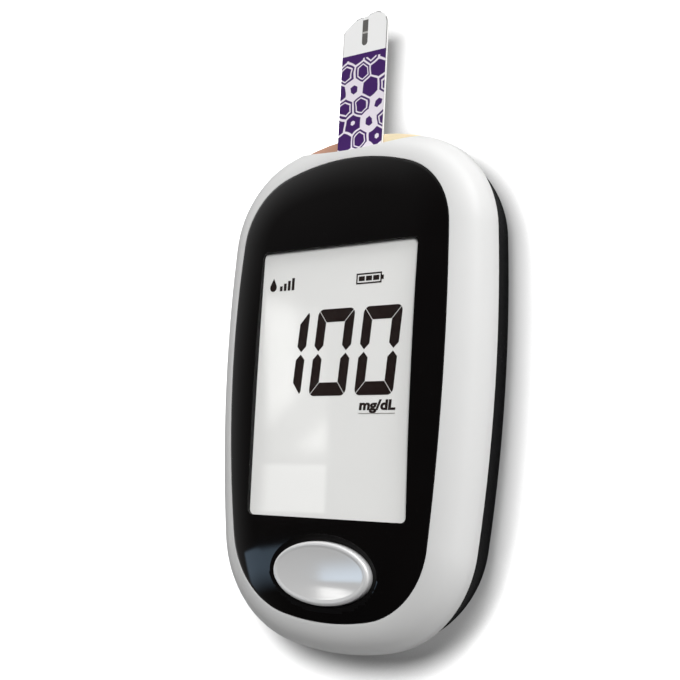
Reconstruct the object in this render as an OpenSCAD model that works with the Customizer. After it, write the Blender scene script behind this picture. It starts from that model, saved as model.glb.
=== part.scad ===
// Handheld blood glucose meter lying on its back, with a test strip in its port.
// Lengths are in millimetres. X runs across the meter, Y runs towards the strip port and
// Z points out of the display. The origin is the centre of the flat back.

/* [Casing outline] */
// Overall length of the casing
body_l = 86.6; // [84:0.1:92]
// Overall width of the casing
body_w = 53.8; // [52:0.1:58]
// Radius of the long bowed sides
side_r = 268; // [220:1:360]
// Distance of the widest point from the middle, towards the port
widest_y = 8.3; // [4:0.1:12]
// Radius of the end that holds the strip port
top_r = 45.3; // [40:0.1:60]
// Radius of the two corners beside the strip port
top_corner_r = 17.7; // [16.5:0.1:20]
// Radius of the lower end
bottom_r = 48.3; // [42:0.1:60]
// Radius of the two lower corners
bottom_corner_r = 19.1; // [17:0.1:21]
// Radius of the gentle lengthwise crown of the front
crown_r = 500; // [400:10:900]

/* [Front shell] */
// Height of the upright rim above the parting line
rim_h = 0.96; // [0.6:0.01:2]
// Width of the rounded shoulder between the side and the front panel
shoulder_w = 5.0; // [4.4:0.1:5.6]
// Height of the rounded shoulder
shoulder_h = 6.4; // [6:0.1:7.5]
// Steepness in degrees at which the shoulder meets the front panel
shoulder_end_angle = 20; // [10:1:30]
// Wall thickness of the front shell
front_wall = 1.6; // [1.2:0.1:1.8]
// Width of the ledge that carries the front panel
ledge_w = 0.9; // [0.6:0.1:1.1]
// Thickness of the ledge that carries the front panel
ledge_t = 1.0; // [0.6:0.1:1.2]

/* [Rear shell] */
// Height of the parting line above the back
parting_z = 12.4; // [12:0.1:13]
// Set-back of the rear shell behind the front shell's side
rear_step = 0.8; // [0.4:0.1:1]
// Width of the rounding between the side and the flat back
rear_round = 9.5; // [8:0.1:10.5]
// Height of the straight band below the parting line
rear_land = 0.5; // [0.2:0.1:1.5]
// Wall thickness of the rear shell's sides
rear_wall = 1.6; // [1.2:0.1:2]
// Thickness of the flat back
floor_t = 1.5; // [1.2:0.1:1.8]
// Height of the lip that reaches into the front shell
lip_h = 0.8; // [0.5:0.1:1.2]

/* [Front panel and window] */
// Thickness of the front panel at its edge
panel_t = 1.3; // [1:0.1:1.6]
// Height of the panel's middle over its edge
panel_rise = 0.56; // [0.2:0.01:1]
// Width over which the panel's edge falls away
panel_fall_w = 6; // [4:0.1:7]
// Distance of the display window from the casing's sides
window_side = 10.7; // [10.5:0.1:12]
// Distance of the display window from the lower end
window_low = 21.5; // [21.5:0.1:23]
// Distance of the display window from the port's end
window_high = 20.2; // [20:0.1:22]
// Corner radius of the display window
window_r = 1.0; // [0.4:0.1:2]
// Thickness of the panel that is left over the display
window_t = 1.0; // [0.8:0.1:1.2]

/* [Button] */
// Length of the oval button
button_w = 19.5; // [17:0.1:21]
// Width of the oval button
button_l = 10.2; // [9:0.1:11]
// Distance of the button's centre from the lower end
button_low = 12.8; // [12.4:0.1:13]
// Height of the button's rounded rim over its edge
button_rim_h = 0.62; // [0.4:0.02:1]
// Width of the button's rounded rim
button_rim_w = 1.1; // [0.8:0.1:1.6]
// Depth of the hollow inside the button's rim
button_dish = 0.34; // [0.2:0.02:0.5]
// Height of the button's edge over the panel
button_proud = 0.15; // [0:0.05:0.3]
// Gap round the button
button_gap = 0.15; // [0.1:0.01:0.2]
// Travel of the button
button_travel = 0.6; // [0.3:0.05:0.6]
// Width of the flange that keeps the button in
button_flange_w = 0.5; // [0.3:0.05:0.6]
// Thickness of the flange
button_flange_t = 0.8; // [0.6:0.1:0.9]
// Side of the square push switch
switch_w = 6.2; // [5:0.1:7]
// Height of the push switch's case
switch_h = 1.2; // [1:0.1:1.2]
// Diameter of the switch's plunger
plunger_d = 3.4; // [2.5:0.1:4]

/* [Display] */
// Width of the glass that the panel hides beside the window
glass_side = 1.8; // [1.2:0.1:1.9]
// Length of the glass that the panel hides above and below the window
glass_end = 2.05; // [1.5:0.05:2.1]
// Thickness of each sheet of glass
glass_t = 0.7; // [0.5:0.1:0.8]
// Width of the contact ledge along the front glass's lower edge
glass_step = 3.0; // [2.6:0.1:4]
// Thickness of the polariser
polariser_t = 0.15; // [0.1:0.01:0.2]
// Thickness of the reflector
reflector_t = 0.15; // [0.1:0.01:0.3]
// Wall of the display frame
frame_wall = 0.6; // [0.5:0.1:0.6]
// Width of the shelf inside the display frame
frame_shelf = 1.2; // [0.8:0.1:2]
// Width of the rubber contact strip
zebra_w = 1.8; // [1.4:0.1:2]
// Height of the large digits
digit_h = 14.4; // [12:0.1:15]
// Width of the large digits
digit_w = 7.6; // [6:0.1:7.8]
// Distance between neighbouring large digits
digit_pitch = 9.42; // [8.6:0.01:9.6]
// Width of a digit's upright segments
upright_w = 1.85; // [1:0.05:2]
// Width of a digit's level segments
bar_w = 2.2; // [1:0.05:2.4]
// Thin gap where an upright meets a level segment
segment_gap = 0.12; // [0.1:0.01:0.3]
// Gap between an upper and a lower upright
segment_split = 0.4; // [0.3:0.05:0.8]
// Lean of the digits in degrees
digit_lean = 5; // [0:1:8]
// Thickness of the dark segments
segment_t = 0.04; // [0.02:0.01:0.06]

/* [Board and electronics] */
// Thickness of the circuit board
board_t = 1.0; // [0.8:0.1:1.2]
// Set-back of the board's edge from the casing's outline
board_inset = 3.2; // [2.8:0.1:4]
// Side of the processor
processor_w = 10; // [7:0.5:12]
// Height of the processor
processor_h = 1.4; // [0.8:0.1:1.6]
// Diameter of the buzzer
buzzer_d = 9; // [8:0.5:9.5]
// Height of the buzzer
buzzer_h = 3.2; // [2:0.1:4]
// Diameter of the sound holes
sound_hole_d = 1.2; // [0.8:0.1:1.6]

/* [Strip port] */
// Width of the port's recess in the end of the casing
port_w = 27; // [24:0.5:30]
// Distance of the recess's wall from the end of the casing
port_depth = 3.4; // [2.6:0.1:4]
// Bow of the recess's wall
port_bow = 1.4; // [0.8:0.1:2]
// Thickness of the recess's wall
port_wall = 1.2; // [0.8:0.1:1.4]
// Height of the slot for the strip
slot_h = 1.2; // [0.9:0.1:1.6]
// Room beside the strip in the slot
slot_side = 0.7; // [0.3:0.1:1]
// Width of the connector
connector_w = 14.4; // [13:0.1:16]
// Length of the connector
connector_l = 9.8; // [9:0.1:10.5]
// Height of the connector
connector_h = 2.6; // [2.2:0.1:2.8]
// Length of the connector's low nose
connector_nose = 2.4; // [2:0.1:3]
// Thickness of the connector's floor under the strip
connector_floor = 0.4; // [0.3:0.05:0.6]
// Number of contact springs
contact_count = 5; // [3:1:6]
// Distance between neighbouring contact springs
contact_pitch = 1.6; // [1.4:0.1:1.8]
// Width of a contact spring
contact_w = 0.7; // [0.5:0.1:0.8]
// Thickness of a contact spring
contact_t = 0.15; // [0.1:0.01:0.2]

/* [Test strip] */
// Width of the test strip
strip_w = 9.35; // [8:0.05:10]
// Length of the test strip
strip_l = 35.4; // [34:0.1:36]
// Length of the strip that stands out of the casing
strip_out = 21.7; // [21.3:0.1:22.7]
// Thickness of the strip's base
strip_base_t = 0.26; // [0.2:0.01:0.35]
// Thickness of the printed tracks
track_t = 0.04; // [0.02:0.01:0.05]
// Thickness of the spacer
spacer_t = 0.10; // [0.06:0.01:0.15]
// Thickness of the cover
cover_t = 0.08; // [0.05:0.01:0.1]
// Thickness of the printed label
label_t = 0.04; // [0.03:0.01:0.06]
// Length of the strip's tip that the label leaves bare
strip_head_l = 7.1; // [5:0.1:8]
// Length of the contact end that the cover leaves bare
strip_bare_l = 5.2; // [4:0.1:5.6]
// Width of the sample channel
channel_w = 1.4; // [0.6:0.1:1.6]
// Length of the sample channel
channel_l = 5.8; // [4:0.1:7]
// Slope across the strip's tip, from its long corner to its short one
tip_rise = 1.5; // [0.5:0.1:2]
// Width of the tip's bevelled corner
tip_bevel = 2.7; // [2:0.1:3]
// Length of the tip's bevelled corner along the strip
tip_bevel_l = 1.8; // [1.4:0.1:2.6]
// Radius of the tip's round corner
tip_r = 2.5; // [1:0.1:3]

/* [Batteries] */
// Diameter of a battery cell
cell_d = 10.4; // [10:0.1:10.5]
// Length of a battery cell with its terminal
cell_l = 44.5; // [44:0.1:44.6]
// Diameter of the cell's raised terminal
terminal_d = 3.8; // [3:0.1:4.5]
// Height of the cell's raised terminal
terminal_h = 0.8; // [0.6:0.1:1]
// Room around a cell
cell_gap = 0.25; // [0.15:0.05:0.3]
// Length of a battery spring when a cell is in place
spring_l = 3.6; // [3:0.1:4]
// Diameter of the spring wire
wire_d = 0.5; // [0.4:0.05:0.6]
// Turns of a battery spring
spring_turns = 3; // [2:1:4]
// Thickness of the battery contact plates
plate_t = 0.3; // [0.2:0.05:0.4]
// Thickness of the roof over the batteries
bay_roof_t = 0.8; // [0.6:0.1:1]
// Thickness of the walls round the batteries
bay_wall = 2.4; // [2.2:0.1:2.8]
// Distance of the battery bay from the lower end of the casing
bay_low = 13.45; // [13:0.05:14]

/* [Battery door] */
// Ledge that the battery door closes against
door_ledge = 1.6; // [1.2:0.1:1.8]
// Gap round the battery door
door_gap = 0.2; // [0.15:0.05:0.3]
// Corner radius of the battery door
door_r = 2; // [1:0.1:3]
// Width of a door tab
tab_w = 1.8; // [1.4:0.1:1.8]
// Reach of a door tab behind the shell's edge
tab_reach = 1.4; // [1:0.1:1.5]
// Thickness of a door tab
tab_t = 0.8; // [0.6:0.1:0.8]
// Distance between the two door tabs
tab_span = 19.1; // [19:0.1:19.2]
// Width of the springy latch tongue
latch_w = 8; // [6:0.1:10]
// Length of the springy latch tongue
latch_l = 6; // [5:0.1:8]
// Width of the nib on the latch tongue
latch_nib_w = 2.4; // [1.6:0.1:2.6]
// Height of the nib on the latch tongue
latch_nib_h = 1.6; // [1:0.1:1.7]
// Width of the slits beside the latch tongue
latch_slit = 0.6; // [0.4:0.1:0.8]

/* [Screws] */
// Diameter of the screw's shank
screw_d = 1.9; // [1.7:0.1:2.2]
// Diameter of the screw's head
screw_head_d = 3.8; // [3.4:0.1:4]
// Height of the screw's head
screw_head_h = 1.4; // [1:0.1:1.8]
// Height at which the screw heads sit
screw_seat_z = 5.0; // [4.8:0.1:6]
// Outer diameter of the screw bosses
boss_d = 4.8; // [4.6:0.1:5.2]
// Distance of the upper screws from the port's end
screw_high = 12.8; // [12.2:0.1:13.2]
// Distance of the upper screws from the casing's sides
screw_high_side = 7.9; // [7.4:0.1:8.8]
// Distance of the lower screws from the lower end
screw_low = 12.8; // [12.4:0.1:13.8]
// Distance of the lower screws from the casing's sides
screw_low_side = 9.4; // [9:0.1:9.8]

/* [Hidden] */

// Clearance between pieces that stay put, and between pieces that run in one another
seat_gap = 0.1;
run_gap = 0.05;
eps = 0.01;

// Steps along each arc of the outline, and along the rounded sections
end_steps = 4;
corner_steps = 8;
side_steps = 6;
section_step = 10;

// Places along the casing and across it
casing_end = body_l / 2;
window_w = body_w - 2 * window_side;
window_l = body_l - window_low - window_high;
window_y = (window_low - window_high) / 2;
glass_w = window_w + 2 * glass_side;
glass_l = window_l + 2 * glass_end;
button_y = button_low - casing_end;
strip_tip_y = casing_end + strip_out;

// Heights of the stack, from the back upwards
cell_z = floor_t + cell_gap + cell_d / 2;
bay_roof_z = cell_z + cell_d / 2 + cell_gap;
board_z = bay_roof_z + bay_roof_t;
board_top = board_z + board_t;
strip_z = board_top + connector_floor + seat_gap;
widest_z = parting_z + rim_h;
panel_edge_z = widest_z + shoulder_h;
panel_top_z = panel_edge_z + panel_rise;
window_end_drop = pow(window_l / 2 + abs(window_y), 2) / (2 * crown_r);
pocket_z = panel_top_z - window_end_drop - window_t;
polariser_top = pocket_z - seat_gap;
front_glass_top = polariser_top - polariser_t;
rear_glass_top = front_glass_top - glass_t;
reflector_top = rear_glass_top - glass_t;
frame_seat_z = reflector_top - reflector_t;

// A height over the whole meter, for cuts that go right through it
above = 2 * panel_top_z;

// Layers of the test strip
tracks_z = strip_z + strip_base_t;
spacer_z = tracks_z + track_t;
cover_z = spacer_z + spacer_t;
label_z = cover_z + cover_t;

// Centres of the outline's five arcs on the right side
side_c = [body_w / 2 - side_r, widest_y];
top_c = [0, body_l / 2 - top_r];
bottom_c = [0, bottom_r - body_l / 2];
top_corner_c = meet(side_c, side_r - top_corner_r, top_c, top_r - top_corner_r, 1);
bottom_corner_c = meet(side_c, side_r - bottom_corner_r, bottom_c, bottom_r - bottom_corner_r, -1);

// Directions in which neighbouring arcs meet
bottom_turn = heading(bottom_c, bottom_corner_c);
bottom_side_turn = heading(side_c, bottom_corner_c);
top_side_turn = heading(side_c, top_corner_c);
top_turn = heading(top_c, top_corner_c);

// Centre of a circle that is r0 from c0 and r1 from c1, above or below the line between them
function meet(c0, r0, c1, r1, side) =
    let (v = c1 - c0, l = norm(v), along = (r0 * r0 - r1 * r1 + l * l) / (2 * l))
    c0 + along * v / l + side * sqrt(r0 * r0 - along * along) * [-v.y, v.x] / l;

function heading(from, to) = atan2(to.y - from.y, to.x - from.x);

// Points of an arc, without its last one
function arc(c, r, a0, a1, steps) =
    [for (i = [0 : steps - 1]) let (a = a0 + (a1 - a0) * i / steps) c + r * [cos(a), sin(a)]];

// Right half of the casing's outline, moved inwards
function right_half(inset) = concat(
    arc(bottom_c, bottom_r - inset, -90, bottom_turn, end_steps),
    arc(bottom_corner_c, bottom_corner_r - inset, bottom_turn, bottom_side_turn, corner_steps),
    arc(side_c, side_r - inset, bottom_side_turn, top_side_turn, side_steps),
    arc(top_corner_c, top_corner_r - inset, top_side_turn, top_turn, corner_steps),
    arc(top_c, top_r - inset, top_turn, 90, end_steps),
    [[0, top_c.y + top_r - inset]]
);

// Whole outline, counter-clockwise from the middle of the lower end
function outline(inset) =
    let (right = right_half(inset), last = len(right) - 1)
    concat(right, [for (i = [last - 1 : -1 : 1]) [-right[i].x, right[i].y]]);

function crown(y) = -y * y / (2 * crown_r);

// The outline as a ring at height z that takes a share of the lengthwise crown
function ring(inset, z, share = 0) = [for (p = outline(inset)) [p.x, p.y, z + share * crown(p.y)]];

// Share of the shoulder's width at angle a, from 0 at the panel to 1 at the side
function shoulder_share(a) = (sin(a) - sin(shoulder_end_angle)) / (1 - sin(shoulder_end_angle));

// One ring of the shoulder, between inset_in at the panel and inset_out at the side
function shoulder_ring(a, inset_in, inset_out, height) =
    let (s = shoulder_share(a))
    ring(inset_in + (inset_out - inset_in) * s,
         widest_z + height * cos(a) / cos(shoulder_end_angle), 1 - s);

// One ring of the rear rounding, from the side (a = 0) to the flat back (a = 90)
function rear_ring(a, inset, width, bottom) =
    let (top = parting_z - rear_land)
    ring(inset + width * (1 - cos(a)), bottom + (top - bottom) * (1 - sin(a)));

function rear_outer_rings() = [for (a = [90 : -section_step : 0]) rear_ring(a, rear_step, rear_round, 0)];

// Side faces between rings of n points; the rings close on each other if closed is true
function side_faces(n, m, closed = false) =
    [for (j = [0 : closed ? m - 1 : m - 2], i = [0 : n - 1])
        let (a = j * n + i, b = j * n + (i + 1) % n, up = closed && j == m - 1 ? -j * n : n)
        each [[a, a + up, b], [b, a + up, b + up]]];

// A crowned end face: rungs between the points that mirror each other
function rungs(first, n, facing_up) =
    let (h = n / 2)
    [for (i = [0 : h - 1])
        let (r0 = first + i, r1 = first + i + 1,
             l0 = first + (i == 0 ? 0 : n - i), l1 = first + n - i - 1,
             quad = i == 0 ? [[r0, l1, r1]]
                  : i == h - 1 ? [[l0, r1, r0]]
                  : [[l0, l1, r1], [l0, r1, r0]])
        each [for (t = quad) facing_up ? t : [t[2], t[1], t[0]]]];

// A solid of rings stacked upwards, whose last ring may carry the crown
module loft(rings, crowned_bottom = false, crowned_top = false) {
    n = len(rings[0]);
    m = len(rings);
    last = (m - 1) * n;
    bottom = crowned_bottom ? rungs(0, n, false) : [[for (i = [0 : n - 1]) i]];
    top = crowned_top ? rungs(last, n, true) : [[for (i = [n - 1 : -1 : 0]) last + i]];
    polyhedron([for (r = rings) each r], concat(side_faces(n, m), bottom, top));
}

// A closed band whose section runs through the rings and back to the first
module band(rings) {
    n = len(rings[0]);
    m = len(rings);
    polyhedron([for (r = rings) each r], side_faces(n, m, true));
}

// A block from corner to corner
module block(low, high) {
    translate(low) cube(high - low);
}

// A block that is centred on the Y axis
module middle_block(w, y0, y1, z0, z1) {
    block([-w / 2, y0, z0], [w / 2, y1, z1]);
}

// A flat rectangle with round corners, centred on c
module round_rectangle(w, l, r, c) {
    translate(c) {
        square([w - 2 * r, l], center = true);
        square([w, l - 2 * r], center = true);
        for (x = [-1, 1], y = [-1, 1])
            translate([x * (w / 2 - r), y * (l / 2 - r)]) circle(r = r, $fn = 32);
    }
}

module round_plate(w, l, r, c, z0, z1) {
    translate([0, 0, z0]) linear_extrude(z1 - z0) round_rectangle(w, l, r, c);
}

module at_screws() {
    for (side = [-1, 1]) {
        translate([side * (body_w / 2 - screw_high_side), casing_end - screw_high, 0]) children();
        translate([side * (body_w / 2 - screw_low_side), screw_low - casing_end, 0]) children();
    }
}

module rod(d, z0, z1, fn = 32) {
    translate([0, 0, z0]) cylinder(d = d, h = z1 - z0, $fn = fn);
}

// ---- Battery bay ----

cell_x = cell_d / 2 + cell_gap / 2;
bay_w = 2 * cell_d + 3 * cell_gap;
bay_l = cell_l + spring_l + 2 * plate_t;
bay_y0 = bay_low - casing_end;
bay_y1 = bay_y0 + bay_l;
door_w = bay_w + 2 * door_ledge;
door_inset = 0.8;
door_y0 = bay_y0 + door_inset;
door_y1 = bay_y1 - door_inset;

// A door tab stands on a root behind the door's edge. Both swing through a pocket in the bay.
tab_root_l = 1.2;
tab_room = 0.25;
tab_z0 = floor_t + 0.15;
tab_top = tab_z0 + tab_t;
tab_pocket_top = norm([tab_reach, tab_top]) + tab_room;
tab_swing = norm([tab_root_l, tab_top]) + tab_room;

module battery_bay_block() {
    middle_block(bay_w + 2 * bay_wall, bay_y0 - bay_wall / 2, bay_y1 + bay_wall / 2, floor_t / 2, board_z);
}

module battery_bay_room() {
    middle_block(bay_w, bay_y0, bay_y1, floor_t, bay_roof_z);
    round_plate(door_w, door_y1 - door_y0, door_r, [0, (door_y0 + door_y1) / 2], -1, floor_t + eps);
    for (side = [-1, 1])
        translate([side * tab_span / 2, 0, 0])
            middle_block(tab_w + 2 * tab_room, door_y1 - door_gap - tab_swing,
                         door_y1 + tab_reach + tab_room, floor_t, tab_pocket_top);
}

// ---- Casing ----

rear_lip_inset = front_wall + seat_gap;
rear_inner_inset = rear_step + rear_wall;
rear_inner_round = rear_round - floor_t / 2;
// The buzzer sits midway between the battery bay and the port's wall
buzzer_y = (bay_y1 + bay_wall / 2 + port_wall_y(0)) / 2;
sound_ring_r = 2.4;

// A shallow round hollow for a fingertip at the door's lower edge
grip_r = 12;
grip_depth = 0.7;

module grip_ball() {
    translate([0, door_y0, grip_depth - grip_r]) sphere(r = grip_r, $fn = 48);
}

module rear_shell() {
    color([0.02, 0.02, 0.025])
    difference() {
        union() {
            loft(concat(
                rear_outer_rings(),
                [ring(rear_step, parting_z),
                 ring(rear_lip_inset, parting_z),
                 ring(rear_lip_inset, parting_z + lip_h),
                 ring(rear_inner_inset, parting_z + lip_h)],
                [for (a = [0 : section_step : 90]) rear_ring(a, rear_inner_inset, rear_inner_round, floor_t)]));
            battery_bay_block();
            intersection() {
                at_screws() rod(boss_d, 0, board_z);
                loft(concat(rear_outer_rings(), [ring(rear_step, board_z + 1)]));
            }
        }
        battery_bay_room();
        at_screws() {
            rod(screw_d + 2 * seat_gap, -1, board_z + 1);
            rod(screw_head_d + 0.4, -1, screw_seat_z);
        }
        translate([0, buzzer_y, 0]) {
            rod(sound_hole_d, -1, floor_t + 1, 16);
            for (a = [0 : 60 : 300])
                translate(sound_ring_r * [cos(a), sin(a), 0]) rod(sound_hole_d, -1, floor_t + 1, 16);
        }
        grip_ball();
    }
}

function front_shell_rings() = concat(
    [ring(0, parting_z)],
    [for (a = [90 : -section_step : shoulder_end_angle]) shoulder_ring(a, shoulder_w, 0, shoulder_h)],
    [ring(shoulder_w, panel_edge_z - panel_t, 1),
     ring(shoulder_w + ledge_w, panel_edge_z - panel_t, 1),
     ring(shoulder_w + ledge_w, panel_edge_z - panel_t - ledge_t, 1)],
    [for (a = [shoulder_end_angle : section_step : 90])
        shoulder_ring(a, shoulder_w, front_wall, shoulder_h - panel_t - ledge_t)],
    [ring(front_wall, parting_z)]
);

// A full solid whose side lies in the middle of the front shell's wall
module front_core() {
    mid = front_wall / 2;
    loft(concat(
        [ring(mid, parting_z)],
        [for (a = [90 : -section_step : shoulder_end_angle])
            shoulder_ring(a, shoulder_w, mid, shoulder_h - panel_t)]),
        crowned_top = true);
}

// ---- Strip port ----

port_floor_z = strip_z - 4 * seat_gap;
port_tuck = 0.3;
port_tongue_w = 18;
ledge_top_z = panel_edge_z - panel_t + crown(casing_end - port_depth);
port_slot_w = strip_w + 2 * slot_side;

// Y of the port's bowed wall at x
function port_wall_y(x) = casing_end - port_depth + port_bow * pow(2 * x / port_w, 2);

// Plan of the port's recess and of bands along its wall, from offset back to offset front
module port_plan(half, back, front) {
    step = half / 8;
    polygon(concat(
        [for (i = [-8 : 8]) [i * step, port_wall_y(i * step) + back]],
        [for (i = [8 : -1 : -8]) [i * step, port_wall_y(i * step) + front]]));
}

module port_recess() {
    translate([0, 0, parting_z - 1]) linear_extrude(above) port_plan(port_w / 2, 0, casing_end);
}

// The screw bosses end inside the ledge under the front panel
boss_top_z = panel_edge_z - panel_t + crown(casing_end - min(screw_high, screw_low)) - ledge_t / 5;

module front_shell() {
    color([0.93, 0.93, 0.93])
    difference() {
        union() {
            band(front_shell_rings());
            intersection() {
                front_core();
                translate([0, 0, port_floor_z + run_gap])
                    linear_extrude(ledge_top_z - port_floor_z) port_plan(port_w / 2 + 1.5, -port_wall, 0);
            }
            at_screws() rod(boss_d, board_top, boss_top_z);
        }
        port_recess();
        middle_block(port_slot_w, port_wall_y(0) - 2 * port_wall, body_l, parting_z, port_floor_z + slot_h);
        at_screws() rod(screw_d + 2 * run_gap, 0, board_top + 2.4);
    }
}

// Plan of the shelf where it lies open in the port
module port_shelf_plan() {
    intersection() {
        polygon(outline(run_gap));
        port_plan(port_w / 2 - run_gap, run_gap, casing_end);
    }
}

// The amber shelf under the strip: a rim that stands on the rear shell's edge, and a tongue
// that runs over the rear shell's lip and under the port's wall
module port_bezel() {
    tongue_z = parting_z + lip_h + seat_gap;
    color([0.86, 0.6, 0.36])
    union() {
        translate([0, 0, parting_z]) linear_extrude(port_floor_z - parting_z)
            difference() {
                port_shelf_plan();
                polygon(outline(rear_lip_inset - run_gap));
            }
        translate([0, 0, tongue_z]) linear_extrude(port_floor_z - tongue_z) {
            port_shelf_plan();
            intersection() {
                polygon(outline(front_wall + run_gap));
                port_plan(port_tongue_w / 2, -port_wall - port_tuck, casing_end);
            }
        }
    }
}

// ---- Front panel, window and button ----

// Height of the panel's top over its edge, by the distance from that edge
function panel_lift(d) = panel_rise * (1 - pow(1 - d / panel_fall_w, 2));

frame_room = 0.3;
frame_w = glass_w + 2 * frame_wall + 2 * seat_gap;
frame_l = glass_l + 2 * frame_wall + 2 * seat_gap;

module oval_prism(w, l, z0, z1) {
    steps = 48;
    translate([0, button_y, z0])
        linear_extrude(z1 - z0)
        polygon([for (i = [0 : steps - 1]) [w / 2 * cos(360 * i / steps), l / 2 * sin(360 * i / steps)]]);
}

module front_panel() {
    edge = shoulder_w + run_gap;
    color([0.03, 0.03, 0.035])
    difference() {
        loft(concat(
            [ring(edge, panel_edge_z - panel_t + run_gap, 1)],
            [for (d = [0, 0.25, 0.5, 0.75, 1] * panel_fall_w) ring(edge + d, panel_edge_z + panel_lift(d), 1)]),
            crowned_bottom = true, crowned_top = true);
        round_plate(window_w, window_l, window_r, [0, window_y], 0, above);
        round_plate(frame_w + 2 * frame_room, frame_l + 2 * frame_room, frame_room,
                    [0, window_y], 0, pocket_z);
        oval_prism(button_w + 2 * button_gap, button_l + 2 * button_gap, 0, above);
    }
}

// A sheet whose top follows the lengthwise crown
module crowned_sheet(w, y0, y1, z0, top) {
    steps = 16;
    step = (y1 - y0) / steps;
    translate([-w / 2, 0, 0]) rotate([90, 0, 90]) linear_extrude(w)
        polygon(concat([[y1, z0], [y0, z0]],
            [for (i = [0 : steps]) let (y = y0 + i * step) [y, top + crown(y)]]));
}

module display_window() {
    clear_w = window_w - 2 * run_gap;
    clear_l = window_l - 2 * run_gap;
    color([0.85, 0.9, 0.92, 0.35])
    intersection() {
        crowned_sheet(window_w, window_y - window_l / 2, window_y + window_l / 2, pocket_z, panel_top_z);
        round_plate(clear_w, clear_l, window_r, [0, window_y], 0, above);
    }
}

button_top_z = panel_top_z + button_proud;
plunger_top_z = board_top + switch_h + button_travel + 0.15;
flange_z = plunger_top_z + run_gap;
stem_top_z = panel_edge_z - panel_t;

// A ring of the button's top, inset from its edge and drawn at a share of what that leaves
function cap_ring(inset, lift, share = 1) =
    let (steps = 48, half_w = share * (button_w / 2 - inset), half_l = share * (button_l / 2 - inset))
    [for (i = [0 : steps - 1])
        let (a = 360 * (i + 0.5) / steps - 90, y = button_y + half_l * sin(a))
        [half_w * cos(a), y, button_top_z + lift + crown(y)]];

module button_cap() {
    crest = button_rim_w / 2;
    brow = 0.3 * button_dish;
    color([0.78, 0.79, 0.8])
    union() {
        oval_prism(button_w + 2 * button_flange_w, button_l + 2 * button_flange_w,
                   flange_z, flange_z + button_flange_t);
        loft([
            [for (p = cap_ring(0, 0)) [p.x, p.y, flange_z + 0.1]],
            cap_ring(0, -0.35),
            for (a = [0 : 18 : 90]) cap_ring(crest * (1 - cos(a)), button_rim_h * sin(a)),
            for (a = [45 : 45 : 180]) cap_ring(crest * (1 + a / 180), button_rim_h - brow * (1 - cos(a)) / 2),
            for (s = [0.86, 0.65, 0.4, 0.12])
                cap_ring(button_rim_w, button_rim_h - brow - (button_dish - brow) * (1 - s * s), s),
        ]);
    }
}

module switch_case() {
    bore_z = board_top + 0.15;
    color([0.12, 0.12, 0.13])
    difference() {
        union() {
            translate([0, button_y, 0])
                middle_block(switch_w, -switch_w / 2, switch_w / 2, board_top, board_top + switch_h);
            for (x = [-1, 1], y = [-1, 1])
                translate([x * (switch_w / 2 + 0.4), button_y + y * switch_w / 4, 0])
                    block([-0.5, -0.4, board_top], [0.5, 0.4, board_top + 0.3]);
        }
        translate([0, button_y, 0]) rod(plunger_d + 2 * run_gap, bore_z, board_top + 5);
    }
}

module switch_plunger() {
    color([0.85, 0.85, 0.82])
    translate([0, button_y, 0]) rod(plunger_d, board_top + 0.2 + button_travel, plunger_top_z);
}

// ---- Display ----

module glass_plate(l_cut, z_top, t) {
    y0 = window_y - glass_l / 2 + l_cut;
    middle_block(glass_w, y0, window_y + glass_l / 2, z_top - t, z_top);
}

module lcd_polariser() {
    inset = 0.8;
    color([0.82, 0.84, 0.82])
    middle_block(glass_w - 2 * inset, window_y - glass_l / 2 + inset, window_y + glass_l / 2 - inset,
                 front_glass_top, polariser_top - segment_t);
}

module lcd_front_glass() {
    color([0.75, 0.8, 0.78, 0.6]) glass_plate(0, front_glass_top, glass_t);
}

module lcd_rear_glass() {
    color([0.75, 0.8, 0.78, 0.6]) glass_plate(glass_step, rear_glass_top, glass_t);
}

module lcd_reflector() {
    color([0.8, 0.8, 0.78]) glass_plate(glass_step, reflector_top, reflector_t);
}

// Plan of the upright segment in a digit's upper right place
module upper_right() {
    mitre = segment_gap / sqrt(2);
    foot = (digit_h + segment_split) / 2;
    inner = digit_w - upright_w;
    polygon([[digit_w, digit_h - mitre], [inner, digit_h - bar_w - mitre], [inner, foot + upright_w / 2],
             [digit_w - upright_w / 2, foot], [digit_w, foot + upright_w / 2]]);
}

// Plan of the level segment at a digit's top
module top_bar() {
    mitre = segment_gap / sqrt(2);
    polygon([[mitre, digit_h], [upright_w + mitre, digit_h - bar_w],
             [digit_w - upright_w - mitre, digit_h - bar_w], [digit_w - mitre, digit_h]]);
}

module to_left() {
    translate([digit_w, 0]) mirror([1, 0]) children();
}

module to_bottom() {
    translate([0, digit_h]) mirror([0, 1]) children();
}

// Radius of a digit's outer corners
digit_corner_r = 1.1;

// A digit of six outer segments. lit holds a 1 for each dark one, in the order
// upper right, lower right, upper left, lower left, top, bottom.
module digit(lit) {
    intersection() {
        union() {
            if (lit[0] == 1) upper_right();
            if (lit[1] == 1) to_bottom() upper_right();
            if (lit[2] == 1) to_left() upper_right();
            if (lit[3] == 1) to_bottom() to_left() upper_right();
            if (lit[4] == 1) top_bar();
            if (lit[5] == 1) to_bottom() top_bar();
        }
        round_rectangle(digit_w, digit_h, digit_corner_r, [digit_w, digit_h] / 2);
    }
}

// A battery symbol: a case, a terminal and bars of charge
module battery_symbol(w, h) {
    wall = h * 0.14;
    bars = 3;
    pitch = (w - 3 * wall) / bars;
    difference() {
        square([w, h]);
        translate([wall, wall]) square([w - 2 * wall, h - 2 * wall]);
    }
    translate([w, h * 0.3]) square([h * 0.22, h * 0.4]);
    for (i = [0 : bars - 1])
        translate([2 * wall + i * pitch, 2 * wall]) square([pitch - wall, h - 4 * wall]);
}

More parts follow.
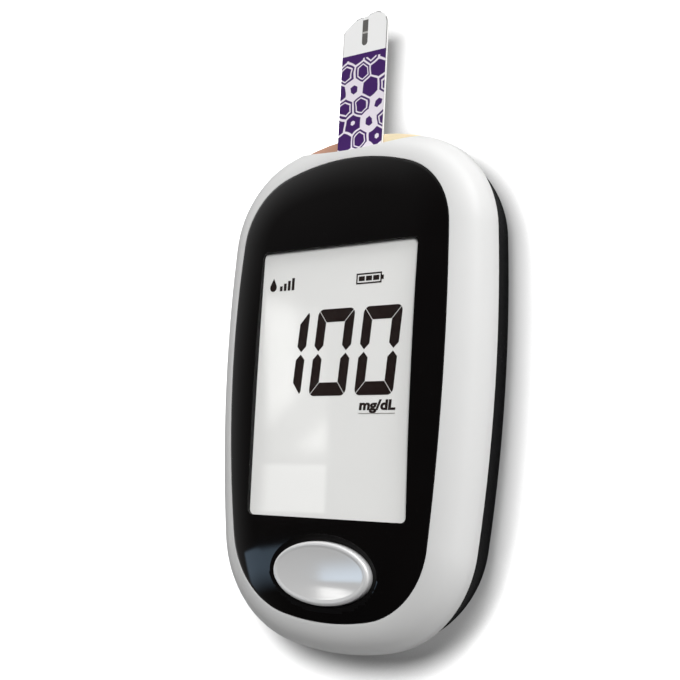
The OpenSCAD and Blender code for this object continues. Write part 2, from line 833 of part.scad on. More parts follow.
// A falling drop
module drop_symbol(h) {
    r = h * 0.32;
    translate([0, r]) circle(r = r, $fn = 32);
    polygon([[-r * 0.92, r * 1.4], [0, h], [r * 0.92, r * 1.4]]);
}

// Bars that grow from left to right
module trend_symbol(w, h) {
    bars = 4;
    pitch = w / bars;
    for (i = [0 : bars - 1])
        translate([i * pitch, 0]) square([pitch * 0.65, h * (i + 2) / (bars + 1)]);
}

// Distances of the digits and of the small symbols from the window's middle and edges
digits_side = 11.5;
digits_drop = 2.6;
symbols_high = 6.9;
battery_symbol_side = 12.25;
battery_symbol_size = [5.1, 1.8];
drop_symbol_side = 2.3;
drop_symbol_h = 2.3;
trend_symbol_side = 3.8;
trend_symbol_size = [3.5, 2.1];
symbols_y = window_y + window_l / 2 - symbols_high;

module lcd_segments() {
    zero = [1, 1, 1, 1, 1, 1];
    one = [1, 1, 0, 0, 0, 0];
    shown = [zero, zero, one]; // from the right
    color([0.12, 0.09, 0.09])
    translate([0, 0, polariser_top - segment_t])
    linear_extrude(segment_t) {
        for (i = [0 : len(shown) - 1])
            translate([window_w / 2 - digits_side - i * digit_pitch, window_y - digits_drop])
                lean_plan(digit_lean) digit(shown[i]);
        translate([window_w / 2 - battery_symbol_side, symbols_y])
            battery_symbol(battery_symbol_size.x, battery_symbol_size.y);
        translate([drop_symbol_side - window_w / 2, symbols_y]) drop_symbol(drop_symbol_h);
        translate([trend_symbol_side - window_w / 2, symbols_y])
            trend_symbol(trend_symbol_size.x, trend_symbol_size.y);
    }
}

// Leans a plan to the right by angle
module lean_plan(angle) {
    multmatrix([[1, tan(angle), 0, 0], [0, 1, 0, 0], [0, 0, 1, 0], [0, 0, 0, 1]]) children();
}

module lcd_frame() {
    y0 = window_y - frame_l / 2;
    y1 = window_y + frame_l / 2;
    room_w = glass_w + 2 * seat_gap;
    room_y0 = y0 + frame_wall;
    room_y1 = y1 - frame_wall;
    color([0.88, 0.88, 0.86])
    difference() {
        middle_block(frame_w, y0, y1, board_top, front_glass_top);
        middle_block(room_w, room_y0, room_y1, frame_seat_z, front_glass_top + 1);
        middle_block(room_w - 2 * frame_shelf, room_y0 + glass_step + frame_shelf, room_y1 - frame_shelf,
                     board_top - 1, front_glass_top + 1);
        middle_block(room_w - 2 * frame_shelf, room_y0 + seat_gap, room_y0 + glass_step - 0.4,
                     board_top - 1, front_glass_top + 1);
    }
}

module zebra_strip() {
    y0 = window_y - glass_l / 2 + (glass_step - zebra_w) / 2 - 0.1;
    color([0.15, 0.15, 0.15])
    middle_block(glass_w - 2 * frame_shelf - 0.6, y0, y0 + zebra_w, board_top, rear_glass_top);
}

// ---- Board and what it carries ----

module main_board() {
    color([0.05, 0.3, 0.15])
    difference() {
        translate([0, 0, board_z]) linear_extrude(board_t) difference() {
            polygon(outline(board_inset));
            port_plan(port_w / 2 + 1, -port_wall - port_tuck - 2 * seat_gap, casing_end);
        }
        at_screws() rod(screw_d + 0.5, board_z - 1, board_top + 1);
    }
}

// A flat chip with a row of legs on two sides, or on all four
module chip(c, w, l, h, legs, all_sides) {
    pitch_x = w / (legs + 1);
    pitch_y = l / (legs + 1);
    leg_w = min(pitch_x, pitch_y) * 0.45;
    leg_l = 0.8;
    translate([c.x, c.y, board_top]) {
        translate([-w / 2, -l / 2, 0.1]) cube([w, l, h - 0.1]);
        for (i = [1 : legs], side = [-1, 1]) {
            translate([side * (w + leg_l) / 2, i * pitch_y - l / 2, 0.12])
                cube([leg_l + 0.2, leg_w, 0.24], center = true);
            if (all_sides)
                translate([i * pitch_x - w / 2, side * (l + leg_l) / 2, 0.12])
                    cube([leg_w, leg_l + 0.2, 0.24], center = true);
        }
    }
}

// Places and sizes on the board, seen from the front
processor_at = [-4, -4];
analog_at = [5, 13];
analog_size = [5, 6, 1.4];
resistor_at = [9, -12];
resistor_size = [2, 1.25, 0.8];
resistor_pitch = [0, 3.2];
capacitor_at = [-9, 9];
capacitor_size = [1, 2, 0.6];
capacitor_pitch = [2.6, 0];
crystal_at = [-12, 14];
crystal_size = [5, 1.8, 1.2];
can_at = [9, 4];
can_d = 4;
can_h = 1.8;

module processor() {
    color([0.1, 0.1, 0.1]) chip(processor_at, processor_w, processor_w, processor_h, 10, true);
}

module analog_chip() {
    color([0.12, 0.12, 0.12]) chip(analog_at, analog_size.x, analog_size.y, analog_size.z, 4, false);
}

module small_parts() {
    color([0.6, 0.55, 0.45])
    translate([0, 0, board_top]) {
        for (i = [0 : 3]) {
            translate(resistor_at + i * resistor_pitch) cube(resistor_size);
            translate(capacitor_at + i * capacitor_pitch) cube(capacitor_size);
        }
        translate(crystal_at) cube(crystal_size);
        translate(can_at) rod(can_d, 0, can_h);
    }
}

module buzzer() {
    color([0.1, 0.1, 0.1])
    difference() {
        translate([0, buzzer_y, 0]) rod(buzzer_d, board_z - buzzer_h, board_z, 48);
        translate([0, buzzer_y, 0]) rod(1.6, board_z - buzzer_h - 1, board_z - 1, 24);
    }
}

// ---- Strip connector ----

connector_y1 = port_wall_y(0) - port_wall - 3 * seat_gap;
connector_y0 = connector_y1 - connector_l;
connector_slot_room = 0.12;
slot_roof_z = label_z + label_t + connector_slot_room;
nose_top_z = slot_roof_z + connector_floor;
strip_y0 = strip_tip_y - strip_l;
contact_reach = 2.4;
contact_tip_y = strip_y0 + contact_reach;
contact_room = 0.15;

module at_contacts() {
    for (i = [0 : contact_count - 1])
        translate([(i - (contact_count - 1) / 2) * contact_pitch, 0, 0]) children();
}

module strip_connector() {
    color([0.08, 0.08, 0.09])
    difference() {
        union() {
            middle_block(connector_w, connector_y0, connector_y1 - connector_nose,
                         board_top, board_top + connector_h);
            middle_block(connector_w, connector_y0, connector_y1, board_top, nose_top_z);
        }
        middle_block(strip_w + 2 * contact_room, strip_y0 - 2 * contact_room, connector_y1 + 1,
                     strip_z - seat_gap, slot_roof_z);
        at_contacts() block([-contact_w / 2 - contact_room, connector_y0 - 1, tracks_z - contact_room],
                            [contact_w / 2 + contact_room, contact_tip_y + contact_reach,
                             board_top + connector_h - connector_floor]);
    }
}

// A ribbon of thickness t along a path in the YZ plane
module ribbon(path, t, w) {
    last = len(path) - 1;
    normals = [for (i = [0 : last])
        let (a = path[max(i - 1, 0)], b = path[min(i + 1, last)], v = (b - a) / norm(b - a)) [-v.y, v.x]];
    translate([-w / 2, 0, 0]) rotate([90, 0, 90]) linear_extrude(w)
        polygon(concat(
            [for (i = [0 : last]) path[i] + normals[i] * t / 2],
            [for (i = [last : -1 : 0]) path[i] - normals[i] * t / 2]));
}

// Length of a contact's foot, height of its first bend and length of the bend at its tip
contact_foot_l = 0.7;
contact_rise = 0.7;
contact_bend = 0.8;

// Each contact is a leaf spring from a foot on the board, over the connector's back wall and
// down to a tip that nearly touches the strip's tracks
module strip_contacts() {
    low = spacer_z + contact_t / 2 + contact_room / 5;
    high = nose_top_z;
    wall_y = connector_y0 - contact_rise;
    riser_y = wall_y - contact_rise / 2;
    color([0.85, 0.68, 0.3])
    at_contacts() ribbon([
        [wall_y - contact_rise - contact_foot_l, board_top + contact_t / 2],
        [wall_y - contact_rise, board_top + contact_t / 2],
        [riser_y, board_top + contact_rise],
        [riser_y, high - contact_rise / 2],
        [wall_y, high],
        [connector_y0 + contact_bend, high],
        [contact_tip_y - contact_bend, low + contact_bend / 2],
        [contact_tip_y, low],
        [contact_tip_y + contact_bend, low + contact_bend / 3],
        [contact_tip_y + 2 * contact_bend, low + contact_bend * 2 / 3]
    ], contact_t, contact_w);
}

// ---- Test strip ----

// Plan of the strip from y0 to its tip: a bevelled corner on the left, a round one on the right
module strip_plan(y0) {
    half = strip_w / 2;
    tip = strip_tip_y;
    slope = tip_rise / strip_w;
    shoulder_y = tip - slope * (strip_w - tip_bevel - tip_r);
    round_c = [half - tip_r, tip - tip_r];
    polygon(concat(
        [[-half, y0], [half, y0]],
        [for (a = [0 : 15 : 90]) round_c + tip_r * [cos(a), sin(a)]],
        [[-half + tip_bevel, shoulder_y], [-half, shoulder_y - tip_bevel_l]]));
}

module strip_layer(y0, z0, t) {
    translate([0, 0, z0]) linear_extrude(t) strip_plan(y0);
}

module sample_channel(z0, t) {
    middle_block(channel_w, strip_tip_y - channel_l, strip_tip_y + 1, z0, z0 + t);
}

cover_y0 = strip_y0 + strip_bare_l;
label_y1 = strip_tip_y - strip_head_l;

module strip_base() {
    color([0.95, 0.95, 0.95]) strip_layer(strip_y0, strip_z, strip_base_t);
}

track_inset = 0.3;
track_cover_l = 10;

module strip_tracks() {
    count = 4;
    pitch = strip_w / count;
    color([0.35, 0.35, 0.37])
    for (i = [0 : count - 1])
        translate([(i - (count - 1) / 2) * pitch, 0, 0])
            middle_block(pitch * 0.6, strip_y0 + track_inset, cover_y0 + track_cover_l, tracks_z, spacer_z);
}

reagent_side = 0.3;

module strip_reagent() {
    color([0.45, 0.44, 0.43])
    middle_block(channel_w + 2 * reagent_side, strip_tip_y - channel_l - reagent_side,
                 strip_tip_y - 2 * tip_rise / 3, tracks_z, spacer_z);
}

module strip_spacer() {
    color([0.95, 0.95, 0.95])
    difference() {
        strip_layer(cover_y0, spacer_z, spacer_t);
        sample_channel(spacer_z - 1, 3);
    }
}

cover_lap = 0.1;

module strip_cover() {
    slit_y0 = strip_tip_y - channel_l + cover_lap;
    color([0.97, 0.97, 0.97])
    difference() {
        strip_layer(cover_y0, cover_z, cover_t);
        middle_block(channel_w - 2 * cover_lap, slit_y0, strip_tip_y + 1, cover_z - 1, cover_z + 1);
    }
}

module strip_label() {
    color([0.28, 0.16, 0.42])
    middle_block(strip_w, cover_y0, label_y1, label_z, label_z + label_t);
}

// ---- Batteries and their contacts ----

// The cells lie side by side and point opposite ways. The raised terminals sit on the plates.
cell_y0 = bay_y0 + plate_t;
cell_y1 = bay_y1 - plate_t;

cell_bevel = 0.5;

module cell() {
    shoulder_y = cell_l - terminal_h - cell_bevel;
    color([0.75, 0.2, 0.15])
    rotate([-90, 0, 0]) {
        rod(cell_d, 0, shoulder_y, 48);
        translate([0, 0, shoulder_y])
            cylinder(d1 = cell_d, d2 = cell_d - 2 * cell_bevel, h = cell_bevel, $fn = 48);
        rod(terminal_d, shoulder_y, cell_l);
    }
}

module battery_left() {
    translate([-cell_x, cell_y1 - cell_l, cell_z]) cell();
}

module battery_right() {
    translate([cell_x, cell_y0 + cell_l, cell_z]) rotate([0, 0, 180]) cell();
}

// A conical spring of round wire, from its wide foot at y = 0 to its tip at y = l
module cone_spring(foot_r, tip_r_end, l) {
    per_turn = 12;
    sides = 6;
    n = spring_turns * per_turn;
    r = wire_d / 2;
    centre = [for (i = [0 : n])
        let (s = i / n, a = 360 * i / per_turn, rad = foot_r + (tip_r_end - foot_r) * s)
        [rad * cos(a), r + (l - 2 * r) * s, rad * sin(a)]];
    points = [for (i = [0 : n], j = [0 : sides - 1])
        let (a = 360 * i / per_turn, b = 360 * j / sides, out = [cos(a), 0, sin(a)])
        centre[i] + r * (cos(b) * out + sin(b) * [0, 1, 0])];
    polyhedron(points, concat(
        [for (i = [0 : n - 1], j = [0 : sides - 1])
            let (a = i * sides + j, b = i * sides + (j + 1) % sides)
            each [[a, a + sides, b], [b, a + sides, b + sides]]],
        [[for (j = [0 : sides - 1]) j]],
        [[for (j = [sides - 1 : -1 : 0]) n * sides + j]]));
}

module battery_springs() {
    foot = cell_d / 2 - 1.2;
    tip = 1.6;
    color([0.75, 0.75, 0.77]) {
        translate([-cell_x, cell_y0, cell_z]) cone_spring(foot, tip, spring_l - run_gap);
        translate([cell_x, cell_y1, cell_z]) rotate([0, 0, 180]) cone_spring(foot, tip, spring_l - run_gap);
    }
}

module battery_plates() {
    w = cell_d - 1;
    low = tab_pocket_top + 0.3;
    high = bay_roof_z - 0.3;
    color([0.7, 0.7, 0.72]) {
        for (side = [-1, 1])
            block([side * cell_x - w / 2, bay_y0, low], [side * cell_x + w / 2, cell_y0, high]);
        block([-cell_x - w / 2, cell_y1, low], [cell_x + w / 2, bay_y1, high]);
    }
}

// ---- Battery door ----

// Grooves across the door's outer face, above its latch
groove_count = 4;
groove_y = 8;
groove_pitch = 1.6;
groove_w = 0.7;
groove_depth = 0.35;

// Place of the latch's nib behind the door's lower edge, and its length
latch_nib_y = 0.9;
latch_nib_l = 0.8;

module battery_door() {
    y0 = door_y0 + door_gap;
    y1 = door_y1 - door_gap;
    tongue_y1 = y0 + latch_l;
    color([0.025, 0.025, 0.03])
    difference() {
        union() {
            round_plate(door_w - 2 * door_gap, y1 - y0, door_r, [0, (y0 + y1) / 2], 0, floor_t);
            for (side = [-1, 1]) {
                translate([side * tab_span / 2, 0, 0])
                    middle_block(tab_w, y1 - tab_root_l, y1 + tab_reach, tab_z0, tab_top);
                translate([side * tab_span / 2, 0, 0])
                    middle_block(tab_w, y1 - tab_root_l, y1 - door_gap, floor_t - eps, tab_top);
            }
            middle_block(latch_nib_w, y0 + latch_nib_y, y0 + latch_nib_y + latch_nib_l,
                         floor_t - eps, floor_t + latch_nib_h);
        }
        for (side = [-1, 1])
            translate([side * (latch_w + latch_slit) / 2, 0, 0])
                middle_block(latch_slit, y0 - 1, tongue_y1, -1, floor_t + 3);
        for (i = [0 : groove_count - 1])
            translate([0, y0 + groove_y + groove_pitch * i, 0])
                middle_block(door_w / 2, 0, groove_w, -1, groove_depth);
        grip_ball();
    }
}

// ---- Screws ----

module screws() {
    head_z = screw_seat_z - screw_head_h;
    color([0.35, 0.35, 0.37])
    at_screws() difference() {
        union() {
            rod(screw_head_d, head_z, screw_seat_z);
            rod(screw_d, screw_seat_z - 0.1, board_top + 2.2);
        }
        for (a = [0, 90])
            rotate([0, 0, a])
                middle_block(0.6, -1.2, 1.2, head_z - 1, head_z + 0.7);
    }
}

rear_shell();
front_shell();
front_panel();
display_window();
port_bezel();
button_cap();
switch_case();
switch_plunger();
lcd_polariser();
lcd_segments();
lcd_front_glass();
lcd_rear_glass();
lcd_reflector();
lcd_frame();
zebra_strip();
main_board();
processor();
analog_chip();
small_parts();
buzzer();
strip_connector();
strip_contacts();
strip_base();
strip_tracks();
strip_reagent();
strip_spacer();
strip_cover();
strip_label();
battery_left();
battery_right();
battery_springs();
battery_plates();
battery_door();
screws();
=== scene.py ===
"""Dresses the packed blood glucose meter with smooth casing parts, finishes and a stage."""

import math
from typing import NamedTuple

import bpy
from mathutils import Matrix, Vector


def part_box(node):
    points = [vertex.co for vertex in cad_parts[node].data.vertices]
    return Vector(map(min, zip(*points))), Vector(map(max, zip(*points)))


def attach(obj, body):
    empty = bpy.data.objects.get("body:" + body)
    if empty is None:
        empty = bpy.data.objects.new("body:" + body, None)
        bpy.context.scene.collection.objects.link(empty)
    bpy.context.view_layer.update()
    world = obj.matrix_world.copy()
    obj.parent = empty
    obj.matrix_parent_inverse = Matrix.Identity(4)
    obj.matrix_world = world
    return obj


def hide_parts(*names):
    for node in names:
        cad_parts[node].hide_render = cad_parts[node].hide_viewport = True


bl_info = {
    "name": "Blood Glucose Meter",
    "version": (1, 0, 0),
    "blender": (4, 5, 0),
    "location": "3D View > Sidebar > Glucose Meter",
    "description": "Builds the casing, display, strip and stage of a handheld blood glucose meter",
    "category": "Object",
}

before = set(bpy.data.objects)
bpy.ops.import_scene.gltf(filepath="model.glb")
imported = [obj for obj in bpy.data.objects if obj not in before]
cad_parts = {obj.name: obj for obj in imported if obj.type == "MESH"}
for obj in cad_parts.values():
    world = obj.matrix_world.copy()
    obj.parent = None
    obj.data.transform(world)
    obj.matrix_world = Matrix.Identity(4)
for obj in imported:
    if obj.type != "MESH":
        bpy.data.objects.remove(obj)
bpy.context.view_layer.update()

MM = 0.001


# ---- Settings ----


def length(name, description, millimetres):
    return bpy.props.FloatProperty(
        name=name, description=description,
        default=millimetres * MM, min=0.0, precision=5, unit="LENGTH",
    )


def colour(name, description, value):
    return bpy.props.FloatVectorProperty(
        name=name, description=description,
        default=(*value, 1.0), size=4, min=0.0, max=1.0, subtype="COLOR",
    )


def amount(name, description, value, high=10.0):
    return bpy.props.FloatProperty(
        name=name, description=description, default=value, min=0.0, max=high
    )


class CasingSizes(bpy.types.PropertyGroup):
    """Sizes of the two shells, as in the frame."""

    length: length("Length", "Overall length of the casing", 86.6)
    width: length("Width", "Overall width of the casing", 53.8)
    side_r: length("Side radius", "Radius of the long bowed sides", 268)
    widest_y: length("Widest point", "Distance of the widest point from the middle", 8.3)
    top_r: length("Port end radius", "Radius of the end with the strip port", 45.3)
    top_corner_r: length("Port corner radius", "Radius of the corners beside the port", 17.7)
    bottom_r: length("Lower end radius", "Radius of the lower end", 48.3)
    bottom_corner_r: length("Lower corner radius", "Radius of the lower corners", 19.1)
    crown_r: length("Crown radius", "Radius of the lengthwise crown of the front", 500)
    parting_z: length("Parting line", "Height of the joint between the shells", 12.4)
    rim_h: length("Rim", "Height of the upright rim above the parting line", 0.96)
    shoulder_w: length("Shoulder width", "Width of the front shell's rounded shoulder", 5.0)
    shoulder_h: length("Shoulder height", "Height of the front shell's rounded shoulder", 6.4)
    shoulder_end: bpy.props.FloatProperty(
        name="Shoulder end", description="Steepness at which the shoulder meets the panel",
        default=math.radians(20), subtype="ANGLE",
    )
    front_wall: length("Front wall", "Wall thickness of the front shell", 1.6)
    rear_wall: length("Rear wall", "Wall thickness of the rear shell", 1.6)
    rear_step: length("Rear step", "Set-back of the rear shell behind the front shell", 0.8)
    rear_round: length("Rear rounding", "Width of the rounding between side and back", 9.5)
    floor_t: length("Back thickness", "Thickness of the flat back", 1.5)
    soft_edge: length("Soft edge", "Radius of the moulded edges", 0.16)


class PanelSizes(bpy.types.PropertyGroup):
    """Sizes of the front panel, the window and the button."""

    panel_t: length("Panel thickness", "Thickness of the panel at its edge", 1.3)
    rise: length("Panel rise", "Height of the panel's middle over its edge", 0.56)
    fall_w: length("Panel fall", "Width over which the panel's edge falls away", 6.0)
    window_r: length("Window corner", "Corner radius of the display window", 1.0)
    button_w: length("Button length", "Length of the oval button", 19.5)
    button_l: length("Button width", "Width of the oval button", 10.2)
    button_y: length("Button place", "Distance from the middle, towards the lower end", 30.5)
    button_gap: length("Button gap", "Gap round the button", 0.15)
    rim_w: length("Button rim", "Width of the button's rounded rim", 1.1)
    rim_h: length("Button rim height", "Height of the button's rim over the panel", 0.62)
    dish: length("Button dish", "Depth of the hollow inside the button's rim", 0.34)


class FinishColours(bpy.types.PropertyGroup):
    """Colours of the finishes."""

    shell: colour("Front shell", "Glossy white plastic", (0.67, 0.67, 0.665))
    rear: colour("Rear shell", "Glossy black plastic", (0.006, 0.006, 0.0065))
    panel: colour("Panel", "Polished black front panel", (0.004, 0.0035, 0.0035))
    button: colour("Button", "Silver paint of the button", (0.76, 0.76, 0.76))
    amber: colour("Port shelf", "Amber plastic under the strip", (0.93, 0.76, 0.5))
    # Painted shade: the port shelf's left side is painted in this darker amber, where shade falls.
    amber_shaded_left: colour("Thick port shelf", "Amber plastic where it is thick", (0.5, 0.27, 0.2))
    display: colour("Display", "Pale ground of the display", (0.93, 0.93, 0.926))
    segments: colour("Segments", "Dark segments of the display", (0.01, 0.004, 0.0035))
    strip: colour("Strip", "White plastic of the test strip", (0.92, 0.92, 0.91))
    print_dark: colour("Strip print", "Violet of the strip's print", (0.058, 0.017, 0.13))
    print_light: colour("Strip print lines", "Pale lines of the strip's print", (0.86, 0.8, 0.88))
    board: colour("Board", "Green coat of the circuit board", (0.02, 0.16, 0.06))
    cell: colour("Cells", "Printed sleeve of the battery cells", (0.05, 0.11, 0.24))


class StageSettings(bpy.types.PropertyGroup):
    """Brightness of the floor, the lamps and the surroundings."""

    floor: colour("Floor", "Colour of the floor as it is seen", (0.75, 0.75, 0.75))
    floor_shaded: colour("Floor, shaded", "Floor close to the meter", (0.3, 0.3, 0.3))
    fill: amount("Fill", "Even light on the floor close to the meter", 0.2, 1.0)
    floor_mirrored: colour("Floor mirrored", "Floor as glossy pieces mirror it", (0.27, 0.27, 0.27))
    floor_bounce: colour("Floor bounce", "Floor as it lights the meter", (0.34, 0.34, 0.34))
    key: amount("Key lamp", "Watts of the lamp above, which lights the meter", 5.5, 100)
    floor_lamp: amount("Floor lamp", "Watts of the lamp that casts the floor's shadow", 0.76, 100)
    glow: amount("Surroundings", "Brightness of the soft glow all round, by side", 0.95)
    window: amount("Window", "Brightness of the window that glossy pieces mirror", 1.0)


# ---- Mesh ----

RIGHT_ANGLE = math.pi / 2


def angles(start, end, steps):
    """Even steps from start to end, both included."""
    return [start + (end - start) * i / steps for i in range(steps + 1)]


def span(width, middle=0.0):
    return middle - width / 2, middle + width / 2


def link(thing):
    bpy.context.scene.collection.objects.link(thing)
    return thing


def new_solid(name, points, faces):
    mesh = bpy.data.meshes.new(name)
    mesh.from_pydata(points, [], faces)
    mesh.update()
    return link(bpy.data.objects.new(name, mesh))


def evaluated_mesh(thing):
    """The mesh of an object as its modifiers or its curves make it."""
    bpy.context.view_layer.update()
    return bpy.data.meshes.new_from_object(
        thing.evaluated_get(bpy.context.evaluated_depsgraph_get())
    )


def side_faces(count, rings, closed=False):
    """Quads between rings of points. The last ring joins the first if closed."""
    faces = []
    for j in range(rings if closed else rings - 1):
        low, high = j * count, (j + 1) % rings * count
        for i in range(count):
            k = (i + 1) % count
            faces.append((low + i, low + k, high + k, high + i))
    return faces


def rungs(first, count, facing_up):
    """A crowned end face: strips between the points that mirror each other in the Y axis."""
    half = count // 2
    faces = []
    for i in range(half):
        right, next_right = first + i, first + i + 1
        left, next_left = first + count - i, first + count - i - 1
        if i == 0:
            face = (right, next_right, next_left)
        elif i == half - 1:
            face = (right, next_right, left)
        else:
            face = (right, next_right, next_left, left)
        faces.append(face if facing_up else face[::-1])
    return faces


def loft(name, rings, crowned_bottom=False, crowned_top=False):
    """A solid of rings stacked upwards."""
    count, last = len(rings[0]), (len(rings) - 1) * len(rings[0])
    faces = side_faces(count, len(rings))
    faces += rungs(0, count, False) if crowned_bottom else [tuple(reversed(range(count)))]
    faces += rungs(last, count, True) if crowned_top else [tuple(range(last, last + count))]
    return new_solid(name, [p for ring in rings for p in ring], faces)


def band(name, rings):
    """A closed band whose section runs through the rings and back to the first."""
    faces = side_faces(len(rings[0]), len(rings), True)
    return new_solid(name, [p for ring in rings for p in ring], faces)


def prism(name, plan, low, high):
    return loft(name, [[(x, y, z) for x, y in plan] for z in (low, high)])


def block(name, xs, ys, zs):
    """A box between two values of X, of Y and of Z."""
    plan = [(xs[0], ys[0]), (xs[1], ys[0]), (xs[1], ys[1]), (xs[0], ys[1])]
    return prism(name, plan, *zs)


def mirrored_plan(right):
    """Closes a plan that runs up the right side with its mirror image on the left."""
    return right + [(-x, y) for x, y in reversed(right[1:-1])]


def rectangle(width, y0, y1, radius, steps=10, side_steps=1):
    """A rounded rectangle, counter-clockwise from the middle of its lower side."""
    x = width / 2
    right = [(0.0, y0)]
    for centre_y, start in ((y0 + radius, -90), (y1 - radius, 0)):
        if start == 0:
            straight = angles(y0 + radius, y1 - radius, side_steps)[1:-1]
            right += [(x, y) for y in straight]
        for turn in angles(start, start + 90, steps):
            a = math.radians(turn)
            right.append((x - radius + radius * math.cos(a), centre_y + radius * math.sin(a)))
    return mirrored_plan(right + [(0.0, y1)])


def oval(a, b, centre_y, steps=96):
    """An ellipse, counter-clockwise from its lowest point."""
    turns = [2 * math.pi * i / steps - RIGHT_ANGLE for i in range(steps)]
    return [(a * math.cos(t), centre_y + b * math.sin(t)) for t in turns]


def lathe(name, x, y, profile, steps=48):
    """A solid turned about an upright axis. The profile runs upwards as (radius, z)."""
    turns = [2 * math.pi * i / steps for i in range(steps)]
    return loft(name, [
        [(x + radius * math.cos(t), y + radius * math.sin(t), z) for t in turns]
        for radius, z in profile
    ])


def work(body, trim=(), join=(), cut=()):
    """Trims a solid to others, joins others to it, cuts others out of it and keeps the result."""
    for operation, tools in (("INTERSECT", trim), ("UNION", join), ("DIFFERENCE", cut)):
        for tool in tools:
            change = body.modifiers.new(operation, "BOOLEAN")
            change.operation, change.solver, change.object = operation, "EXACT", tool
    done = evaluated_mesh(body)
    body.modifiers.clear()
    body.data = done
    for tool in (*trim, *join, *cut):
        bpy.data.objects.remove(tool)
    if len(done.polygons) == 0:
        raise RuntimeError(f"{body.name} came out empty")
    return body


def smooth(piece, sharp=35, soft_edge=0.0):
    """Shades a piece smoothly, up to edges sharper than sharp degrees.

    soft_edge is the radius of its sharp edges, where they are rounded.
    """
    piece.data.shade_smooth()
    piece.data.set_sharp_from_angle(angle=math.radians(sharp))
    if soft_edge:
        same_point, bevelled = 0.002 * MM, math.radians(40)
        piece.modifiers.new("Weld", "WELD").merge_threshold = same_point
        bevel = piece.modifiers.new("Bevel", "BEVEL")
        bevel.width, bevel.segments = soft_edge, 2
        bevel.limit_method, bevel.angle_limit = "ANGLE", bevelled
    piece.modifiers.new("Weighted normals", "WEIGHTED_NORMAL").keep_sharp = True


def place(piece, body, slot, stands_for, *materials, by_face=None):
    """Gives a piece its body, the node that it stands for and its finishes; slot is not used.

    by_face picks the number of each face's finish.
    """
    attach(piece, body)
    if stands_for:
        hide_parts(stands_for)
    piece.data.materials.clear()
    for material in materials:
        piece.data.materials.append(material)
    if by_face:
        for face in piece.data.polygons:
            face.material_index = int(by_face(face))


def dress(name, material, soft_edge=0.0):
    """Gives a carried-over solid its finish, and soft edges where they show."""
    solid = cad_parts[name]
    if not solid.material_slots:
        raise RuntimeError(f"{name} has no material slot")
    for held in solid.material_slots:
        held.material = material
    if soft_edge:
        smooth(solid, soft_edge=soft_edge)


# ---- Casing ----

ARC_STEPS = (10, 20, 14, 20, 10)
REAR_RIM = 0.5 * MM
LEDGE_W, LEDGE_T = 0.9 * MM, 1.0 * MM
PORT_W, PORT_DEPTH = 27 * MM, 3.4 * MM
PORT_BOW, PORT_WALL = 1.4 * MM, 1.2 * MM
PORT_FLOOR_Z = 14.3 * MM
SLOT_W, SLOT_H = 10.75 * MM, 1.2 * MM
BOARD_LOW, BOARD_TOP = 13.2 * MM, 14.2 * MM
BOSS_R = 2.4 * MM
SCREWS = [(side * x * MM, y * MM) for side in (-1, 1) for x, y in ((19, 30.5), (17.5, -30.5))]


def heading(start, end):
    return math.atan2(end.y - start.y, end.x - start.x)


def meet(c0, r0, c1, r1, side):
    """Centre of a circle that is r0 from c0 and r1 from c1, on one side of the line between."""
    v = c1 - c0
    along = (r0 * r0 - r1 * r1 + v.length_squared) / (2 * v.length)
    off = math.sqrt(r0 * r0 - along * along)
    return c0 + v * (along / v.length) + Vector((-v.y, v.x)) * (side * off / v.length)


